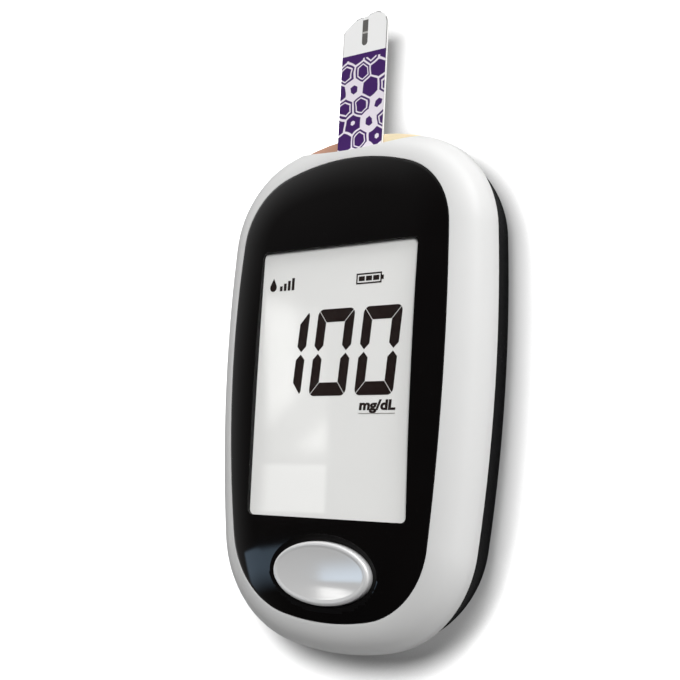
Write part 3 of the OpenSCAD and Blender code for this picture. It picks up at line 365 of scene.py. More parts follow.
class Casing:
    """The casing's outline, five tangent arcs a side, with the heights that pieces share."""

    def __init__(self, scene):
        size = self.size = scene.meter_casing
        self.panel = scene.meter_panel
        self.end = size.length / 2
        side = Vector((size.width / 2 - size.side_r, size.widest_y))
        bottom = Vector((0, size.bottom_r - self.end))
        top = Vector((0, self.end - size.top_r))
        low_r, top_r = size.bottom_corner_r, size.top_corner_r
        low_corner = meet(side, size.side_r - low_r, bottom, size.bottom_r - low_r, -1)
        top_corner = meet(side, size.side_r - top_r, top, size.top_r - top_r, 1)
        centres = (bottom, low_corner, side, top_corner, top)
        radii = (size.bottom_r, low_r, size.side_r, top_r, size.top_r)
        turns = [
            -RIGHT_ANGLE,
            heading(bottom, low_corner),
            heading(side, low_corner),
            heading(side, top_corner),
            heading(top, top_corner),
            RIGHT_ANGLE,
        ]
        self.arcs = list(zip(centres, radii, turns, turns[1:], ARC_STEPS))
        self.widest = size.parting_z + size.rim_h
        self.edge = self.widest + size.shoulder_h
        self.seat = self.edge - self.panel.panel_t
        self.top = self.edge + self.panel.rise
        self.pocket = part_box("display_window")[0].z

    def plan(self, inset):
        """Counter-clockwise from the middle of the lower end."""
        right = []
        for centre, radius, start, end, steps in self.arcs:
            r = radius - inset
            for a in angles(start, end, steps)[:-1]:
                right.append((centre.x + r * math.cos(a), centre.y + r * math.sin(a)))
        return mirrored_plan(right + [(0.0, self.end - inset)])

    def crown(self, y):
        return -y * y / (2 * self.size.crown_r)

    def ring(self, inset, z, share=0.0):
        """The outline at a height. share is how much of the crown it follows."""
        return [(x, y, z + share * self.crown(y)) for x, y in self.plan(inset)]

    def crowned(self, plan, lift):
        """A plan laid on the crown of the panel's middle, lifted a little."""
        return [(x, y, self.top + lift + self.crown(y)) for x, y in plan]

    def shoulder(self, start, end, steps, inner, outer, height):
        """Rings of the shoulder, between inset inner at the panel and outer at the side."""
        slope = math.sin(self.size.shoulder_end)
        rings = []
        for a in angles(start, end, steps):
            share = (math.sin(a) - slope) / (1 - slope)
            z = self.widest + height * math.cos(a) / math.cos(self.size.shoulder_end)
            rings.append(self.ring(inner + (outer - inner) * share, z, 1 - share))
        return rings

    def rear_rounding(self, start, end, steps, inset, width, bottom):
        """Rings of the rear rounding, between the side (0) and the flat back (a right angle)."""
        top = self.size.parting_z - REAR_RIM
        rings = []
        for a in angles(start, end, steps):
            z = bottom + (top - bottom) * (1 - math.sin(a))
            rings.append(self.ring(inset + width * (1 - math.cos(a)), z))
        return rings

    def port_wall(self, x):
        return self.end - PORT_DEPTH + PORT_BOW * (2 * x / PORT_W) ** 2

    def port_band(self, half, back, front, steps=24):
        """Plan of a band along the port's bowed wall, from offset back to offset front."""
        across = [half * i / steps for i in range(-steps, steps + 1)]
        low = [(x, self.port_wall(x) + back) for x in across]
        return low + [(x, self.port_wall(x) + front) for x in reversed(across)]


# ---- Pieces ----


class METER_OT_front_shell(bpy.types.Operator):
    """Builds the glossy white front shell with its shoulder and strip port"""

    bl_idname = "meter.front_shell"
    bl_label = "Front Shell"

    def execute(self, context):
        case = Casing(context.scene)
        size, ring, soft = case.size, case.ring, case.size.soft_edge
        slope, shoulder_w = math.sin(size.shoulder_end), size.shoulder_w
        soft_end = math.asin(soft / shoulder_w * (1 - slope) + slope)
        ledge = shoulder_w + LEDGE_W
        rings = [
            ring(back * soft, size.parting_z + up * soft)
            for back, up in ((1, 0), (0.3, 0.3), (0, 1))
        ]
        rings += case.shoulder(RIGHT_ANGLE, soft_end, 26, shoulder_w, 0, size.shoulder_h)
        rings += [
            ring(shoulder_w - back * soft, case.edge - down * soft, 1)
            for back, down in ((0.35, 0.1), (0.08, 0.38), (0, 1))
        ]
        rings += [ring(shoulder_w, case.seat, 1), ring(ledge, case.seat, 1)]
        rings.append(ring(ledge, case.seat - LEDGE_T, 1))
        under_panel = size.shoulder_h - case.panel.panel_t
        rings += case.shoulder(
            size.shoulder_end, RIGHT_ANGLE, 8, shoulder_w, size.front_wall, under_panel - LEDGE_T
        )
        rings.append(ring(size.front_wall, size.parting_z))
        shell = band("shell_front", rings)

        middle = size.front_wall / 2
        core = [ring(middle, size.parting_z)]
        core += case.shoulder(RIGHT_ANGLE, size.shoulder_end, 12, shoulder_w, middle, under_panel)
        wall_plan = case.port_band(PORT_W / 2 + 1.5 * MM, -PORT_WALL, 0.5 * MM)
        wall_top = case.seat + case.crown(case.end - PORT_DEPTH)
        wall = prism("port_wall", wall_plan, PORT_FLOOR_Z + 0.05 * MM, wall_top)
        work(wall, trim=[loft("core", core, crowned_top=True)])

        screw_y = case.end - 12.8 * MM
        boss_top = case.seat + case.crown(screw_y) - LEDGE_T / 5
        boss = [(BOSS_R, BOARD_TOP), (BOSS_R, boss_top)]
        bore = [(MM, 0), (MM, BOARD_TOP + 2.4 * MM)]
        recess = case.port_band(PORT_W / 2, 0, case.end)
        slot_y = (case.port_wall(0) - 2 * PORT_WALL, 2 * case.end)
        slot_z = (size.parting_z, PORT_FLOOR_Z + SLOT_H)
        work(
            shell,
            join=[wall] + [lathe("boss", x, y, boss) for x, y in SCREWS],
            cut=[
                prism("recess", recess, size.parting_z - MM, 2 * case.top),
                block("slot", span(SLOT_W), slot_y, slot_z),
                *(lathe("bore", x, y, bore, 24) for x, y in SCREWS),
            ],
        )
        smooth(shell)
        place(shell, "meter", "white_shell", "front_shell", finish("white_gloss"))
        return {"FINISHED"}


class METER_OT_rear_shell(bpy.types.Operator):
    """Builds the glossy black rear shell with its battery bay, screw seats and sound holes"""

    bl_idname = "meter.rear_shell"
    bl_label = "Rear Shell"

    def execute(self, context):
        case = Casing(context.scene)
        size, soft = case.size, 0.5 * case.size.soft_edge
        step, floor_t, parting = size.rear_step, size.floor_t, size.parting_z
        lip, inner = size.front_wall + 0.1 * MM, step + size.rear_wall
        lip_z = parting + 0.8 * MM
        rings = case.rear_rounding(RIGHT_ANGLE, 0, 30, step, size.rear_round, 0)
        rings += [case.ring(inset, z) for inset, z in (
            (step, parting - soft), (step + soft, parting),
            (lip, parting), (lip, lip_z), (inner, lip_z),
        )]
        inner_round = size.rear_round - floor_t / 2
        rings += case.rear_rounding(0, RIGHT_ANGLE, 10, inner, inner_round, floor_t)
        shell = loft("shell_rear", rings)

        bay_w, bay_y0, bay_y1, bay_roof = 21.55 * MM, -29.85 * MM, 18.85 * MM, 12.4 * MM
        wall = 2.4 * MM
        walls_y = (bay_y0 - wall / 2, bay_y1 + wall / 2)
        join = [block("bay_walls", span(bay_w + 2 * wall), walls_y, (floor_t / 2, BOARD_LOW))]
        middle = step + size.rear_wall / 2
        for x, y in SCREWS:
            skin = case.rear_rounding(RIGHT_ANGLE, 0, 16, middle, size.rear_round, floor_t / 2)
            skin.append(case.ring(middle, BOARD_LOW + MM))
            boss = lathe("boss", x, y, [(BOSS_R, 0), (BOSS_R, BOARD_LOW)])
            join.append(work(boss, trim=[loft("skin", skin)]))

        door_w, door_y0, door_y1, door_r = 24.75 * MM, -29.05 * MM, 18.05 * MM, 2 * MM
        door = rectangle(door_w, door_y0, door_y1, door_r)
        cut = [
            block("bay", span(bay_w), (bay_y0, bay_y1), (floor_t, bay_roof)),
            prism("door_opening", door, -MM, floor_t + 0.01 * MM),
        ]
        tab_w, tab_x, tab_y, tab_top = 2.3 * MM, 9.55 * MM, (14.88 * MM, 19.7 * MM), 3.07 * MM
        for side in (-1, 1):
            cut.append(block("tab_room", span(tab_w, side * tab_x), tab_y, (floor_t, tab_top)))
        head_r, head_top, shank_r = 2.1 * MM, 5 * MM, 1.05 * MM
        seat = [(head_r, -MM), (head_r, head_top), (shank_r, head_top), (shank_r, BOARD_LOW + MM)]
        cut += [lathe("screw_seat", x, y, seat) for x, y in SCREWS]

        low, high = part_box("buzzer")
        hole_r, hole_spacing = 0.6 * MM, 2.4 * MM
        hole = [(0.85 * MM, -0.25 * MM), (hole_r, 0.12 * MM), (hole_r, floor_t + MM)]
        round_middle = [(math.cos(a), math.sin(a)) for a in angles(0, 5 * math.pi / 3, 5)]
        for x, y in [(0.0, 0.0)] + round_middle:
            hole_y = (low.y + high.y) / 2 + hole_spacing * y
            cut.append(lathe("sound_hole", hole_spacing * x, hole_y, hole, 24))

        # The fingertip hollow at the door's lower edge, cut by a ball.
        ball_r, hollow_depth, pole = 12 * MM, 0.7 * MM, 0.02
        ball = [
            (ball_r * math.sin(a), hollow_depth - ball_r - ball_r * math.cos(a))
            for a in angles(pole, math.pi - pole, 60)
        ]
        cut.append(lathe("grip", 0, door_y0, ball, 96))
        work(shell, join=join, cut=cut)
        smooth(shell)
        place(shell, "meter", "black_shell", "rear_shell", finish("black_gloss"))
        return {"FINISHED"}


class METER_OT_front_panel(bpy.types.Operator):
    """Builds the polished black front panel and the clear display window in it"""

    bl_idname = "meter.front_panel"
    bl_label = "Front Panel and Window"

    def execute(self, context):
        case = Casing(context.scene)
        panel, gap, soft = case.panel, 0.05 * MM, 0.12 * MM
        edge = case.size.shoulder_w + gap
        rings = [case.ring(edge, case.seat + gap, 1)]
        for back, down in ((0, 1), (0.1, 0.55), (0.4, 0.12)):
            rings.append(case.ring(edge + back * soft, case.edge - down * soft, 1))
        for inset in angles(soft, panel.fall_w, 16):
            lift = panel.rise * (1 - (1 - inset / panel.fall_w) ** 2)
            rings.append(case.ring(edge + inset, case.edge + lift, 1))
        sheet = loft("panel_front", rings, crowned_bottom=True, crowned_top=True)

        low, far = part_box("display_window")
        y0, y1, width = low.y - gap, far.y + gap, far.x - low.x + 2 * gap
        window_plan = rectangle(width, y0, y1, panel.window_r)
        stack_low, stack_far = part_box("lcd_frame")
        room = 0.3 * MM
        stack_w = stack_far.x - stack_low.x + 2 * room
        pocket = rectangle(stack_w, stack_low.y - room, stack_far.y + room, room, 4)
        half_w, half_l = (side / 2 + panel.button_gap for side in (panel.button_w, panel.button_l))

        # The matt chamfer round the button's opening, as (outwards, down) in millimetres.
        chamfer = ((-0.05, 0.4), (0.0, 0.4), (0.35, 0.24), (0.7, 0.09), (1.0, 0.01), (1.4, -0.3))
        seat = [
            case.crowned(oval(half_w + out * MM, half_l + out * MM, -panel.button_y), -down * MM)
            for out, down in chamfer
        ]
        button_hole = oval(half_w, half_l, -panel.button_y)
        work(sheet, cut=[
            loft("button_seat", seat),
            prism("window_hole", window_plan, 0, 2 * case.top),
            prism("pocket", pocket, 0, case.pocket),
            prism("button_hole", button_hole, 0, 2 * case.top),
        ])
        smooth(sheet, 25)

        def in_chamfer(face):
            across = face.center.x / (half_w + MM)
            along = (face.center.y + panel.button_y) / (half_l + MM)
            return across**2 + along**2 < 0.995

        matt = finish("matt_black_edge")
        place(
            sheet, "meter", "black_panel", "front_panel", finish("panel_gloss"), matt,
            by_face=in_chamfer,
        )

        rim = 0.01 * MM
        plan = rectangle(width - 2 * rim, y0 + rim, y1 - rim, panel.window_r - rim, 12, 40)
        rings = [[(x, y, case.pocket) for x, y in plan], case.crowned(plan, 0)]
        window = loft("window", rings, crowned_top=True)
        smooth(window, 25)
        place(
            window, "meter", "clear_window", "display_window",
            clear_plastic("clear_window_plastic", 1.49), matt,
            clear_plastic("bonded_window_back", 1.001),
            by_face=lambda face: 1 if abs(face.normal.z) < 0.5 else 0 if face.normal.z > 0 else 2,
        )
        return {"FINISHED"}


class METER_OT_button(bpy.types.Operator):
    """Builds the oval button with its rounded rim and shallow dish"""

    bl_idname = "meter.button"
    bl_label = "Button"

    def execute(self, context):
        case = Casing(context.scene)
        panel = case.panel
        a, b, y = panel.button_w / 2, panel.button_l / 2, -panel.button_y
        proud = 0.15 * MM
        flange_z, flange_t, flange_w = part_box("button_cap")[0].z, 0.8 * MM, 0.5 * MM

        def ring(inset, lift, scale=1.0):
            return case.crowned(oval((a - inset) * scale, (b - inset) * scale, y), proud + lift)

        rings = [[(x, y, flange_z + 0.1 * MM) for x, y, _ in ring(0, 0)], ring(0, -0.35 * MM)]
        half_rim = 0.5 * panel.rim_w
        for turn in angles(0, RIGHT_ANGLE, 10):
            rings.append(ring(half_rim * (1 - math.cos(turn)), panel.rim_h * math.sin(turn)))
        step = 0.3 * panel.dish
        for turn in angles(0, math.pi, 8)[1:]:
            down = step * (1 - math.cos(turn)) / 2
            rings.append(ring(half_rim + half_rim * turn / math.pi, panel.rim_h - down))
        for scale in (0.94, 0.86, 0.76, 0.65, 0.53, 0.4, 0.27, 0.14, 0.05):
            down = step + (panel.dish - step) * (1 - scale**2)
            rings.append(ring(panel.rim_w, panel.rim_h - down, scale))
        cap = loft("button_top", rings)
        flange_plan = oval(a + flange_w, b + flange_w, y)
        work(cap, join=[prism("flange", flange_plan, flange_z, flange_z + flange_t)])
        smooth(cap)
        place(cap, "button", "silver_button", "button_cap", finish("silver_paint"))
        dress("switch_case", finish("switch_black"), 0.06 * MM)
        dress("switch_plunger", finish("switch_ivory"), 0.08 * MM)
        return {"FINISHED"}


class METER_OT_display(bpy.types.Operator):
    """Finishes the layers of the display and adds the unit under the digits"""

    bl_idname = "meter.display"
    bl_label = "Display"

    def execute(self, context):
        ink = finish("segment_ink")
        for layer, material in (
            ("lcd_segments", ink),
            ("lcd_polariser", finish("display_ground")),
            ("lcd_front_glass", finish("display_glass")),
            ("lcd_rear_glass", finish("display_glass")),
            ("lcd_reflector", finish("reflector_foil")),
            ("zebra_strip", zebra_rubber()),
        ):
            dress(layer, material)
        dress("lcd_frame", finish("frame_white"), 0.08 * MM)

        words = bpy.data.curves.new("unit", "FONT")
        words.body = "mg/dL"
        words.size, words.offset, words.extrude = 2.35 * MM, 0.11 * MM, 0.01 * MM
        words.resolution_u = 6
        holder = link(bpy.data.objects.new("unit_words", words))
        mesh = evaluated_mesh(holder)
        bpy.data.objects.remove(holder)
        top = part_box("lcd_segments")[1].z
        low, width, slant, squash = Vector((5.85, -4.25, -0.01)) * MM, 7.1 * MM, 0.08, 0.92
        xs = [v.co.x for v in mesh.vertices]
        start, stretch = min(xs), width / (max(xs) - min(xs))
        for v in mesh.vertices:
            x, y, z = v.co
            moved = Vector(((x - start) * stretch + y * slant, y * squash, top + z))
            v.co = low + moved
        place(link(bpy.data.objects.new("display_unit", mesh)), "meter", "lcd_dark", None, ink)
        line_x, line_y = (5.8 * MM, 12.9 * MM), (-4.94 * MM, -4.8 * MM)
        line = block("display_unit_line", line_x, line_y, (top - 0.03 * MM, top))
        place(line, "meter", "lcd_dark", None, finish("faint_ink"))
        return {"FINISHED"}


class METER_OT_port(bpy.types.Operator):
    """Finishes the amber shelf, the strip connector and its contacts"""

    bl_idname = "meter.port"
    bl_label = "Strip Port"

    def execute(self, context):
        dress("port_bezel", finish("amber_plastic"), 0.1 * MM)
        dress("strip_connector", finish("connector_black"), 0.06 * MM)
        dress("strip_contacts", finish("contact_gold"))
        return {"FINISHED"}


def strip_outline(low_y, far):
    """Plan of the strip: a long bevelled corner on the left and a round one on the right."""
    half, tip = far.x, far.y
    rise, bevel_w, bevel_l, radius, soft = 1.5 * MM, 2.7 * MM, 1.8 * MM, 2.5 * MM, 0.5 * MM
    shoulder_y = tip - rise / (2 * half) * (2 * half - bevel_w - radius)
    points = [(-half, low_y), (half, low_y)]
    for a in angles(0, RIGHT_ANGLE, 16):
        points.append((half - radius + radius * math.cos(a), tip - radius + radius * math.sin(a)))
    round_end, low_left = Vector((half - radius, tip)), Vector((-half, low_y))
    shoulder = Vector((bevel_w - half, shoulder_y))
    low_corner = Vector((-half, shoulder_y - bevel_l))
    for before, corner, after in (
        (round_end, shoulder, low_corner),
        (shoulder, low_corner, low_left),
    ):
        a = corner + (before - corner).normalized() * soft
        b = corner + (after - corner).normalized() * soft
        points += [a.lerp(corner, t).lerp(corner.lerp(b, t), t)[:] for t in angles(0, 1, 6)]
    return points


def strip_sheet(part, channel_w, channel_l, cut_w):
    """A layer of the strip. channel_w is 0 where it has no sample channel."""
    low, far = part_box("strip_" + part)
    plan = strip_outline(low.y, far)
    cut_h = min(0.03 * MM, (far.z - low.z) / 3)
    middle_y = (low.y + far.y) / 2
    top = [
        (x - math.copysign(cut_w, x), y + math.copysign(cut_w, middle_y - y), far.z)
        for x, y in plan
    ]
    rings = [[(x, y, z) for x, y in plan] for z in (low.z, far.z - cut_h)]
    sheet = loft("strip_sheet_" + part, rings + [top])
    if channel_w:
        half = channel_w / 2
        start = far.y - channel_l + half
        plan = [(half * math.cos(a), start + half * math.sin(a)) for a in angles(-math.pi, 0, 16)]
        plan += [(half, far.y + MM), (-half, far.y + MM)]
        work(sheet, cut=[prism("channel", plan, low.z - MM, far.z + MM)])
    smooth(sheet)
    return sheet


class METER_OT_strip(bpy.types.Operator):
    """Builds the test strip's sheets and its printed label"""

    bl_idname = "meter.strip"
    bl_label = "Test Strip"

    def execute(self, context):
        for part, channel_w, channel_l in (("base", 0, 0), ("spacer", 1.4 * MM, 5.8 * MM)):
            sheet = strip_sheet(part, channel_w, channel_l, 0.03 * MM)
            place(sheet, "strip", "strip_white", "strip_" + part, finish("strip_white_film"))
        cover = strip_sheet("cover", 1.2 * MM, 5.7 * MM, 0.14 * MM)
        place(
            cover, "strip", "strip_clear", "strip_cover",
            finish("strip_cover_film"), finish("strip_cut_edge"),
            by_face=lambda face: abs(face.normal.z) < 0.99,
        )
        dress("strip_label", strip_print())
        dress("strip_tracks", finish("strip_carbon"))
        dress("strip_reagent", finish("reagent_grey"))
        return {"FINISHED"}


class METER_OT_inside(bpy.types.Operator):
    """Finishes the circuit board and what it carries"""

    bl_idname = "meter.inside"
    bl_label = "Board and Electronics"

    def execute(self, context):
        dress("main_board", board_green())
        dress("processor", finish("chip_black"))
        dress("analog_chip", finish("chip_black_small"))
        dress("small_parts", finish("parts_tan"), 0.05 * MM)
        dress("buzzer", finish("buzzer_black"), 0.12 * MM)
        return {"FINISHED"}


class METER_OT_power(bpy.types.Operator):
    """Finishes the cells, their springs and their contact plates"""

    bl_idname = "meter.power"
    bl_label = "Batteries"

    def execute(self, context):
        sleeve = cell_sleeve()
        dress("battery_left", sleeve, 0.08 * MM)
        dress("battery_right", sleeve, 0.08 * MM)
        dress("battery_springs", finish("spring_steel"))
        dress("battery_plates", finish("plate_nickel"))
        return {"FINISHED"}


class METER_OT_back(bpy.types.Operator):
    """Finishes the battery door and the screws in the back"""

    bl_idname = "meter.back"
    bl_label = "Door and Screws"

    def execute(self, context):
        dress("battery_door", finish("black_gloss"), 0.12 * MM)
        dress("screws", finish("screw_steel"), 0.05 * MM)
        return {"FINISHED"}


# ---- Shader nodes ----


def feed(made, inputs):
    """Sets a node's sockets, by name or number, to a value or to another node's socket."""
    for socket, value in inputs.items():
        if isinstance(value, bpy.types.NodeSocket):
            made.id_data.links.new(value, made.inputs[socket])
        else:
            made.inputs[socket].default_value = value
    return made


def node(tree, kind, inputs=None, **settings):
    made = tree.nodes.new("ShaderNode" + kind)
    for name, value in settings.items():
        setattr(made, name, value)
    return feed(made, inputs or {})


def maths(tree, operation, *values, clamp=False):
    sockets = dict(enumerate(values))
    return node(tree, "Math", sockets, operation=operation, use_clamp=clamp).outputs[0]


def chain(tree, operation, first, *others):
    """One operation over several values, such as a product or the greatest."""
    for other in others:
        first = maths(tree, operation, first, other)
    return first


def vector(tree, operation, *values):
    """A vector operation. DOT_PRODUCT and LENGTH give a number, the others a vector."""
    sockets = (0, 3) if operation == "SCALE" else (0, 1, 2)
    made = node(tree, "VectorMath", dict(zip(sockets, values)), operation=operation)
    return made.outputs["Value" if operation in ("DOT_PRODUCT", "LENGTH") else "Vector"]


def remap(tree, value, low, high, to_low=0.0, to_high=1.0, smooth_ends=False):
    kind = "SMOOTHSTEP" if smooth_ends else "LINEAR"
    ends = {"From Min": low, "From Max": high, "To Min": to_low, "To Max": to_high}
    return node(tree, "MapRange", {"Value": value, **ends}, interpolation_type=kind).outputs[0]


def noise(tree, coords, scale, detail=2.0, stretch=None, output=0):
    if stretch:
        coords = node(tree, "Mapping", {"Vector": coords, "Scale": stretch}).outputs[0]
    values = {"Vector": coords, "Scale": scale, "Detail": detail}
    return node(tree, "TexNoise", values).outputs[output]


def mix(tree, share, first, second, kind="RGBA"):
    """Between first (0) and second (1), as a colour or as a VECTOR."""
    a, b, out = (6, 7, 2) if kind == "RGBA" else (4, 5, 1)
    return node(tree, "Mix", {0: share, a: first, b: second}, data_type=kind).outputs[out]


def bump(tree, height, strength, distance):
    values = {"Height": height, "Strength": strength, "Distance": distance}
    return node(tree, "Bump", values).outputs[0]


def object_coords(tree):
    return node(tree, "TexCoord").outputs["Object"]


def axes(tree, value):
    return node(tree, "SeparateXYZ", {0: value}).outputs


def shared_group(tree, group_name, values, build):
    """Places a group and gives its outputs. values hold its inputs, all numbers but Color.

    The group is made when it is first placed: build takes its tree and its inputs and returns
    its outputs by name.
    """
    def kind(label):
        return "NodeSocketColor" if label == "Color" else "NodeSocketFloat"

    group = bpy.data.node_groups.get(group_name)
    if not group:
        group = bpy.data.node_groups.new(group_name, "ShaderNodeTree")
        for label in values:
            group.interface.new_socket(label, in_out="INPUT", socket_type=kind(label))
        made = build(group, group.nodes.new("NodeGroupInput").outputs)
        for label in made:
            group.interface.new_socket(label, in_out="OUTPUT", socket_type=kind(label))
        feed(group.nodes.new("NodeGroupOutput"), made)
    return node(tree, "Group", values, node_tree=group).outputs


def build_skin(tree, given):
    coords = object_coords(tree)
    cloud = maths(tree, "SUBTRACT", noise(tree, coords, 110.0, 3.0), 0.5)
    swing = maths(tree, "MULTIPLY", cloud, given["Variation"])
    value = maths(tree, "MULTIPLY_ADD", swing, 2.0, 1.0)
    tinted = node(tree, "HueSaturation", {"Color": given["Color"], "Value": value}).outputs[0]
    smear = maths(tree, "SUBTRACT", noise(tree, coords, 320.0, 4.0, (1.0, 0.4, 1.0)), 0.5)
    uneven = maths(tree, "MULTIPLY", smear, given["Spread"])
    gloss = maths(tree, "ADD", given["Roughness"], uneven, clamp=True)
    fine = noise(tree, coords, given["Grain per metre"], 3.0)
    return {"Color": tinted, "Roughness": gloss, "Height": fine}


def moulded_skin(tree, colour_value, roughness, variation, spread=0.05, grain=2500.0):
    """Clouded colour, uneven gloss and fine grain of a moulded or coated surface."""
    return shared_group(tree, "Moulded skin", {
        "Color": colour_value,
        "Variation": variation,
        "Roughness": roughness,
        "Spread": spread,
        "Grain per metre": grain,
    }, build_skin)


def build_marks(tree, given):
    coords = object_coords(tree)
    cells = node(tree, "TexVoronoi", {"Vector": coords, "Scale": given["Scale"]})
    specks = remap(tree, cells.outputs["Distance"], 0.09, 0.05)
    where = remap(tree, noise(tree, coords, 130.0, 3.0), 0.52, 0.66)
    hairs = remap(tree, noise(tree, coords, 500.0, 2.0, (14.0, 0.35, 1.0)), 0.66, 0.72)
    both = maths(tree, "MAXIMUM", specks, maths(tree, "MULTIPLY", hairs, 0.6))
    return {"Mask": chain(tree, "MULTIPLY", both, where, given["Amount"])}


def handling_marks(tree, share):
    """A mask of dust specks and hairline scratches that sit where a hand rubs."""
    values = {"Amount": share, "Scale": 900.0}
    return shared_group(tree, "Handling marks", values, build_marks)["Mask"]


# ---- Finishes ----

DUST = (0.5, 0.5, 0.48, 1.0)


def new_material(name):
    material = bpy.data.materials.new(name)
    material.use_nodes = True
    tree = material.node_tree
    return material, tree, tree.nodes["Principled BSDF"]


def setting_colour(name):
    return getattr(bpy.context.scene.meter_colours, name)[:]


def amber_with_painted_shade(tree):
    """Amber with painted shade, darker in tone towards its left side."""
    across = axes(tree, object_coords(tree))[0]
    share = remap(tree, across, -4.0 * MM, 6.0 * MM, smooth_ends=True)
    return mix(tree, share, setting_colour("amber_shaded_left"), setting_colour("amber"))


def gapped_reagent(tree):
    """Grey reagent along the sample channel, with two paler gaps across it."""
    along, tip = axes(tree, object_coords(tree))[1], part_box("strip_base")[1].y
    gaps = [
        maths(tree, "COMPARE", along, tip - back * MM, 0.17 * MM) for back in (3.3, 5.9)
    ]
    both = maths(tree, "MAXIMUM", *gaps)
    return mix(tree, both, (0.13, 0.125, 0.12, 1.0), (0.5, 0.49, 0.47, 1.0))


class Finish(NamedTuple):
    """A moulded, coated or plated surface."""

    colour: object  # a colour setting's name, red, green and blue, or a function of the tree
    roughness: float
    variation: float = 0.08  # of the colour, in clouds
    spread: float = 0.1  # of the roughness, in smears
    grain: float = 6000.0  # per metre
    bump: float = 0.15
    marks: float = 0.0  # dust and hairline scratches
    sockets: dict = {}  # further sockets of the shader


def plated(colour_value, roughness, grain_mm):
    grain = 1000.0 / grain_mm
    return Finish(colour_value, roughness, 0.06, 0.12, grain, 0.2, sockets={"Metallic": 1.0})


FINISHES = {
    # Casing
    "white_gloss": Finish("shell", 0.3, 0.012, 0.05, 1800.0, 0.03, 0.25),
    "black_gloss": Finish(
        "rear", 0.2, 0.1, 0.05, 1600.0, 0.04, 0.6, {"Specular IOR Level": 0.12}
    ),
    "panel_gloss": Finish("panel", 0.04, 0.2, 0.02, 900.0, 0.008, 0.25),
    "matt_black_edge": Finish(
        "panel", 0.5, 0.1, 0.1, 3000.0, 0.1, 0.0, {"Specular IOR Level": 0.1}
    ),
    "silver_paint": Finish("button", 0.08, 0.02, 0.03, 14000.0, 0.015, 0.2, {"Metallic": 0.22}),
    # Painted shade: the amber darkens towards the shelf's left side.
    "amber_plastic": Finish(
        amber_with_painted_shade, 0.22, 0.06, 0.06, 2500.0, 0.05, 0.0, {"Subsurface Weight": 0.15}
    ),
    # Display. The glass is grey and mostly hidden under the glossy polariser film.
    "display_ground": Finish("display", 0.03, 0.01, 0.01, 9000.0, 0.0),
    "display_glass": Finish((0.42, 0.46, 0.43), 0.05, 0.02, 0.02, 900.0, 0.01),
    "segment_ink": Finish("segments", 0.5, 0.25, 0.05, 9000.0, 0.05),
    "faint_ink": Finish((0.35, 0.34, 0.33), 0.5, 0.1, 0.05, 9000.0, 0.05),
    "frame_white": Finish((0.75, 0.75, 0.72), 0.4),
    "reflector_foil": plated((0.7, 0.7, 0.69), 0.35, 1.5),
    # Strip. The cover is bonded to white film, so it looks a little greyer than that.
    "strip_white_film": Finish("strip", 0.35, 0.015, 0.06, 5000.0, 0.06),
    "strip_cover_film": Finish((0.94, 0.94, 0.935), 0.12, 0.015, 0.04, 2500.0, 0.04),
    "strip_cut_edge": Finish((0.3, 0.3, 0.3), 0.4),
    "strip_carbon": Finish((0.03, 0.03, 0.032), 0.5),
    "reagent_grey": Finish(gapped_reagent, 0.6, 0.3, 0.1, 5000.0, 0.3),
    # Inside
    "connector_black": Finish((0.018, 0.018, 0.02), 0.4),
    "contact_gold": plated((0.83, 0.62, 0.28), 0.22, 0.3),
    "switch_black": Finish((0.02, 0.02, 0.022), 0.45),
    "switch_ivory": Finish((0.6, 0.57, 0.48), 0.4),
    "chip_black": Finish((0.02, 0.02, 0.021), 0.5),
    "chip_black_small": Finish((0.022, 0.022, 0.022), 0.5),
    "parts_tan": Finish((0.42, 0.33, 0.2), 0.45),
    "buzzer_black": Finish((0.015, 0.015, 0.016), 0.35),
    "spring_steel": plated((0.62, 0.62, 0.63), 0.25, 0.4),
    "plate_nickel": plated((0.66, 0.64, 0.6), 0.3, 0.8),
    "screw_steel": plated((0.42, 0.42, 0.44), 0.3, 0.4),
}


def finish(name):
    """The material of a finish, made when it is first asked for."""
    if name in bpy.data.materials:
        return bpy.data.materials[name]
    look = FINISHES[name]
    material, tree, shader = new_material(name)
    if callable(look.colour):
        tint = look.colour(tree)
    else:
        tint = setting_colour(look.colour) if isinstance(look.colour, str) else (*look.colour, 1.0)
    skin = moulded_skin(tree, tint, look.roughness, look.variation, look.spread, look.grain)
    tint, gloss = skin["Color"], skin["Roughness"]
    if look.marks:
        mask = handling_marks(tree, look.marks)
        gloss = maths(tree, "MULTIPLY_ADD", mask, 0.25, gloss)
        tint = mix(tree, maths(tree, "MULTIPLY", mask, 0.06), tint, DUST)
    raised = bump(tree, skin["Height"], look.bump, 0.02 * MM)
    feed(shader, {"Base Color": tint, "Roughness": gloss, "Normal": raised, **look.sockets})
    return material


def clear_plastic(name, bend):
    """Clear moulded window that lets light through. bend is its index of refraction."""
    material, tree, shader = new_material(name)
    smear = remap(tree, noise(tree, object_coords(tree), 160.0, 3.0), 0.4, 0.7, 0.0, 0.02)
    feed(shader, {
        "Base Color": (0.985, 0.985, 0.98, 1.0),
        "Transmission Weight": 1.0,
        "IOR": bend,
        "Roughness": smear,
    })
    passing = node(tree, "BsdfTransparent", {"Color": (0.995, 0.995, 0.99, 1.0)}).outputs[0]
    path = node(tree, "LightPath").outputs
    lighting = maths(tree, "MAXIMUM", path["Is Shadow Ray"], path["Is Diffuse Ray"])
    mixed = node(tree, "MixShader", {0: lighting, 1: shader.outputs[0], 2: passing})
    feed(tree.nodes["Material Output"], {"Surface": mixed.outputs[0]})
    return material


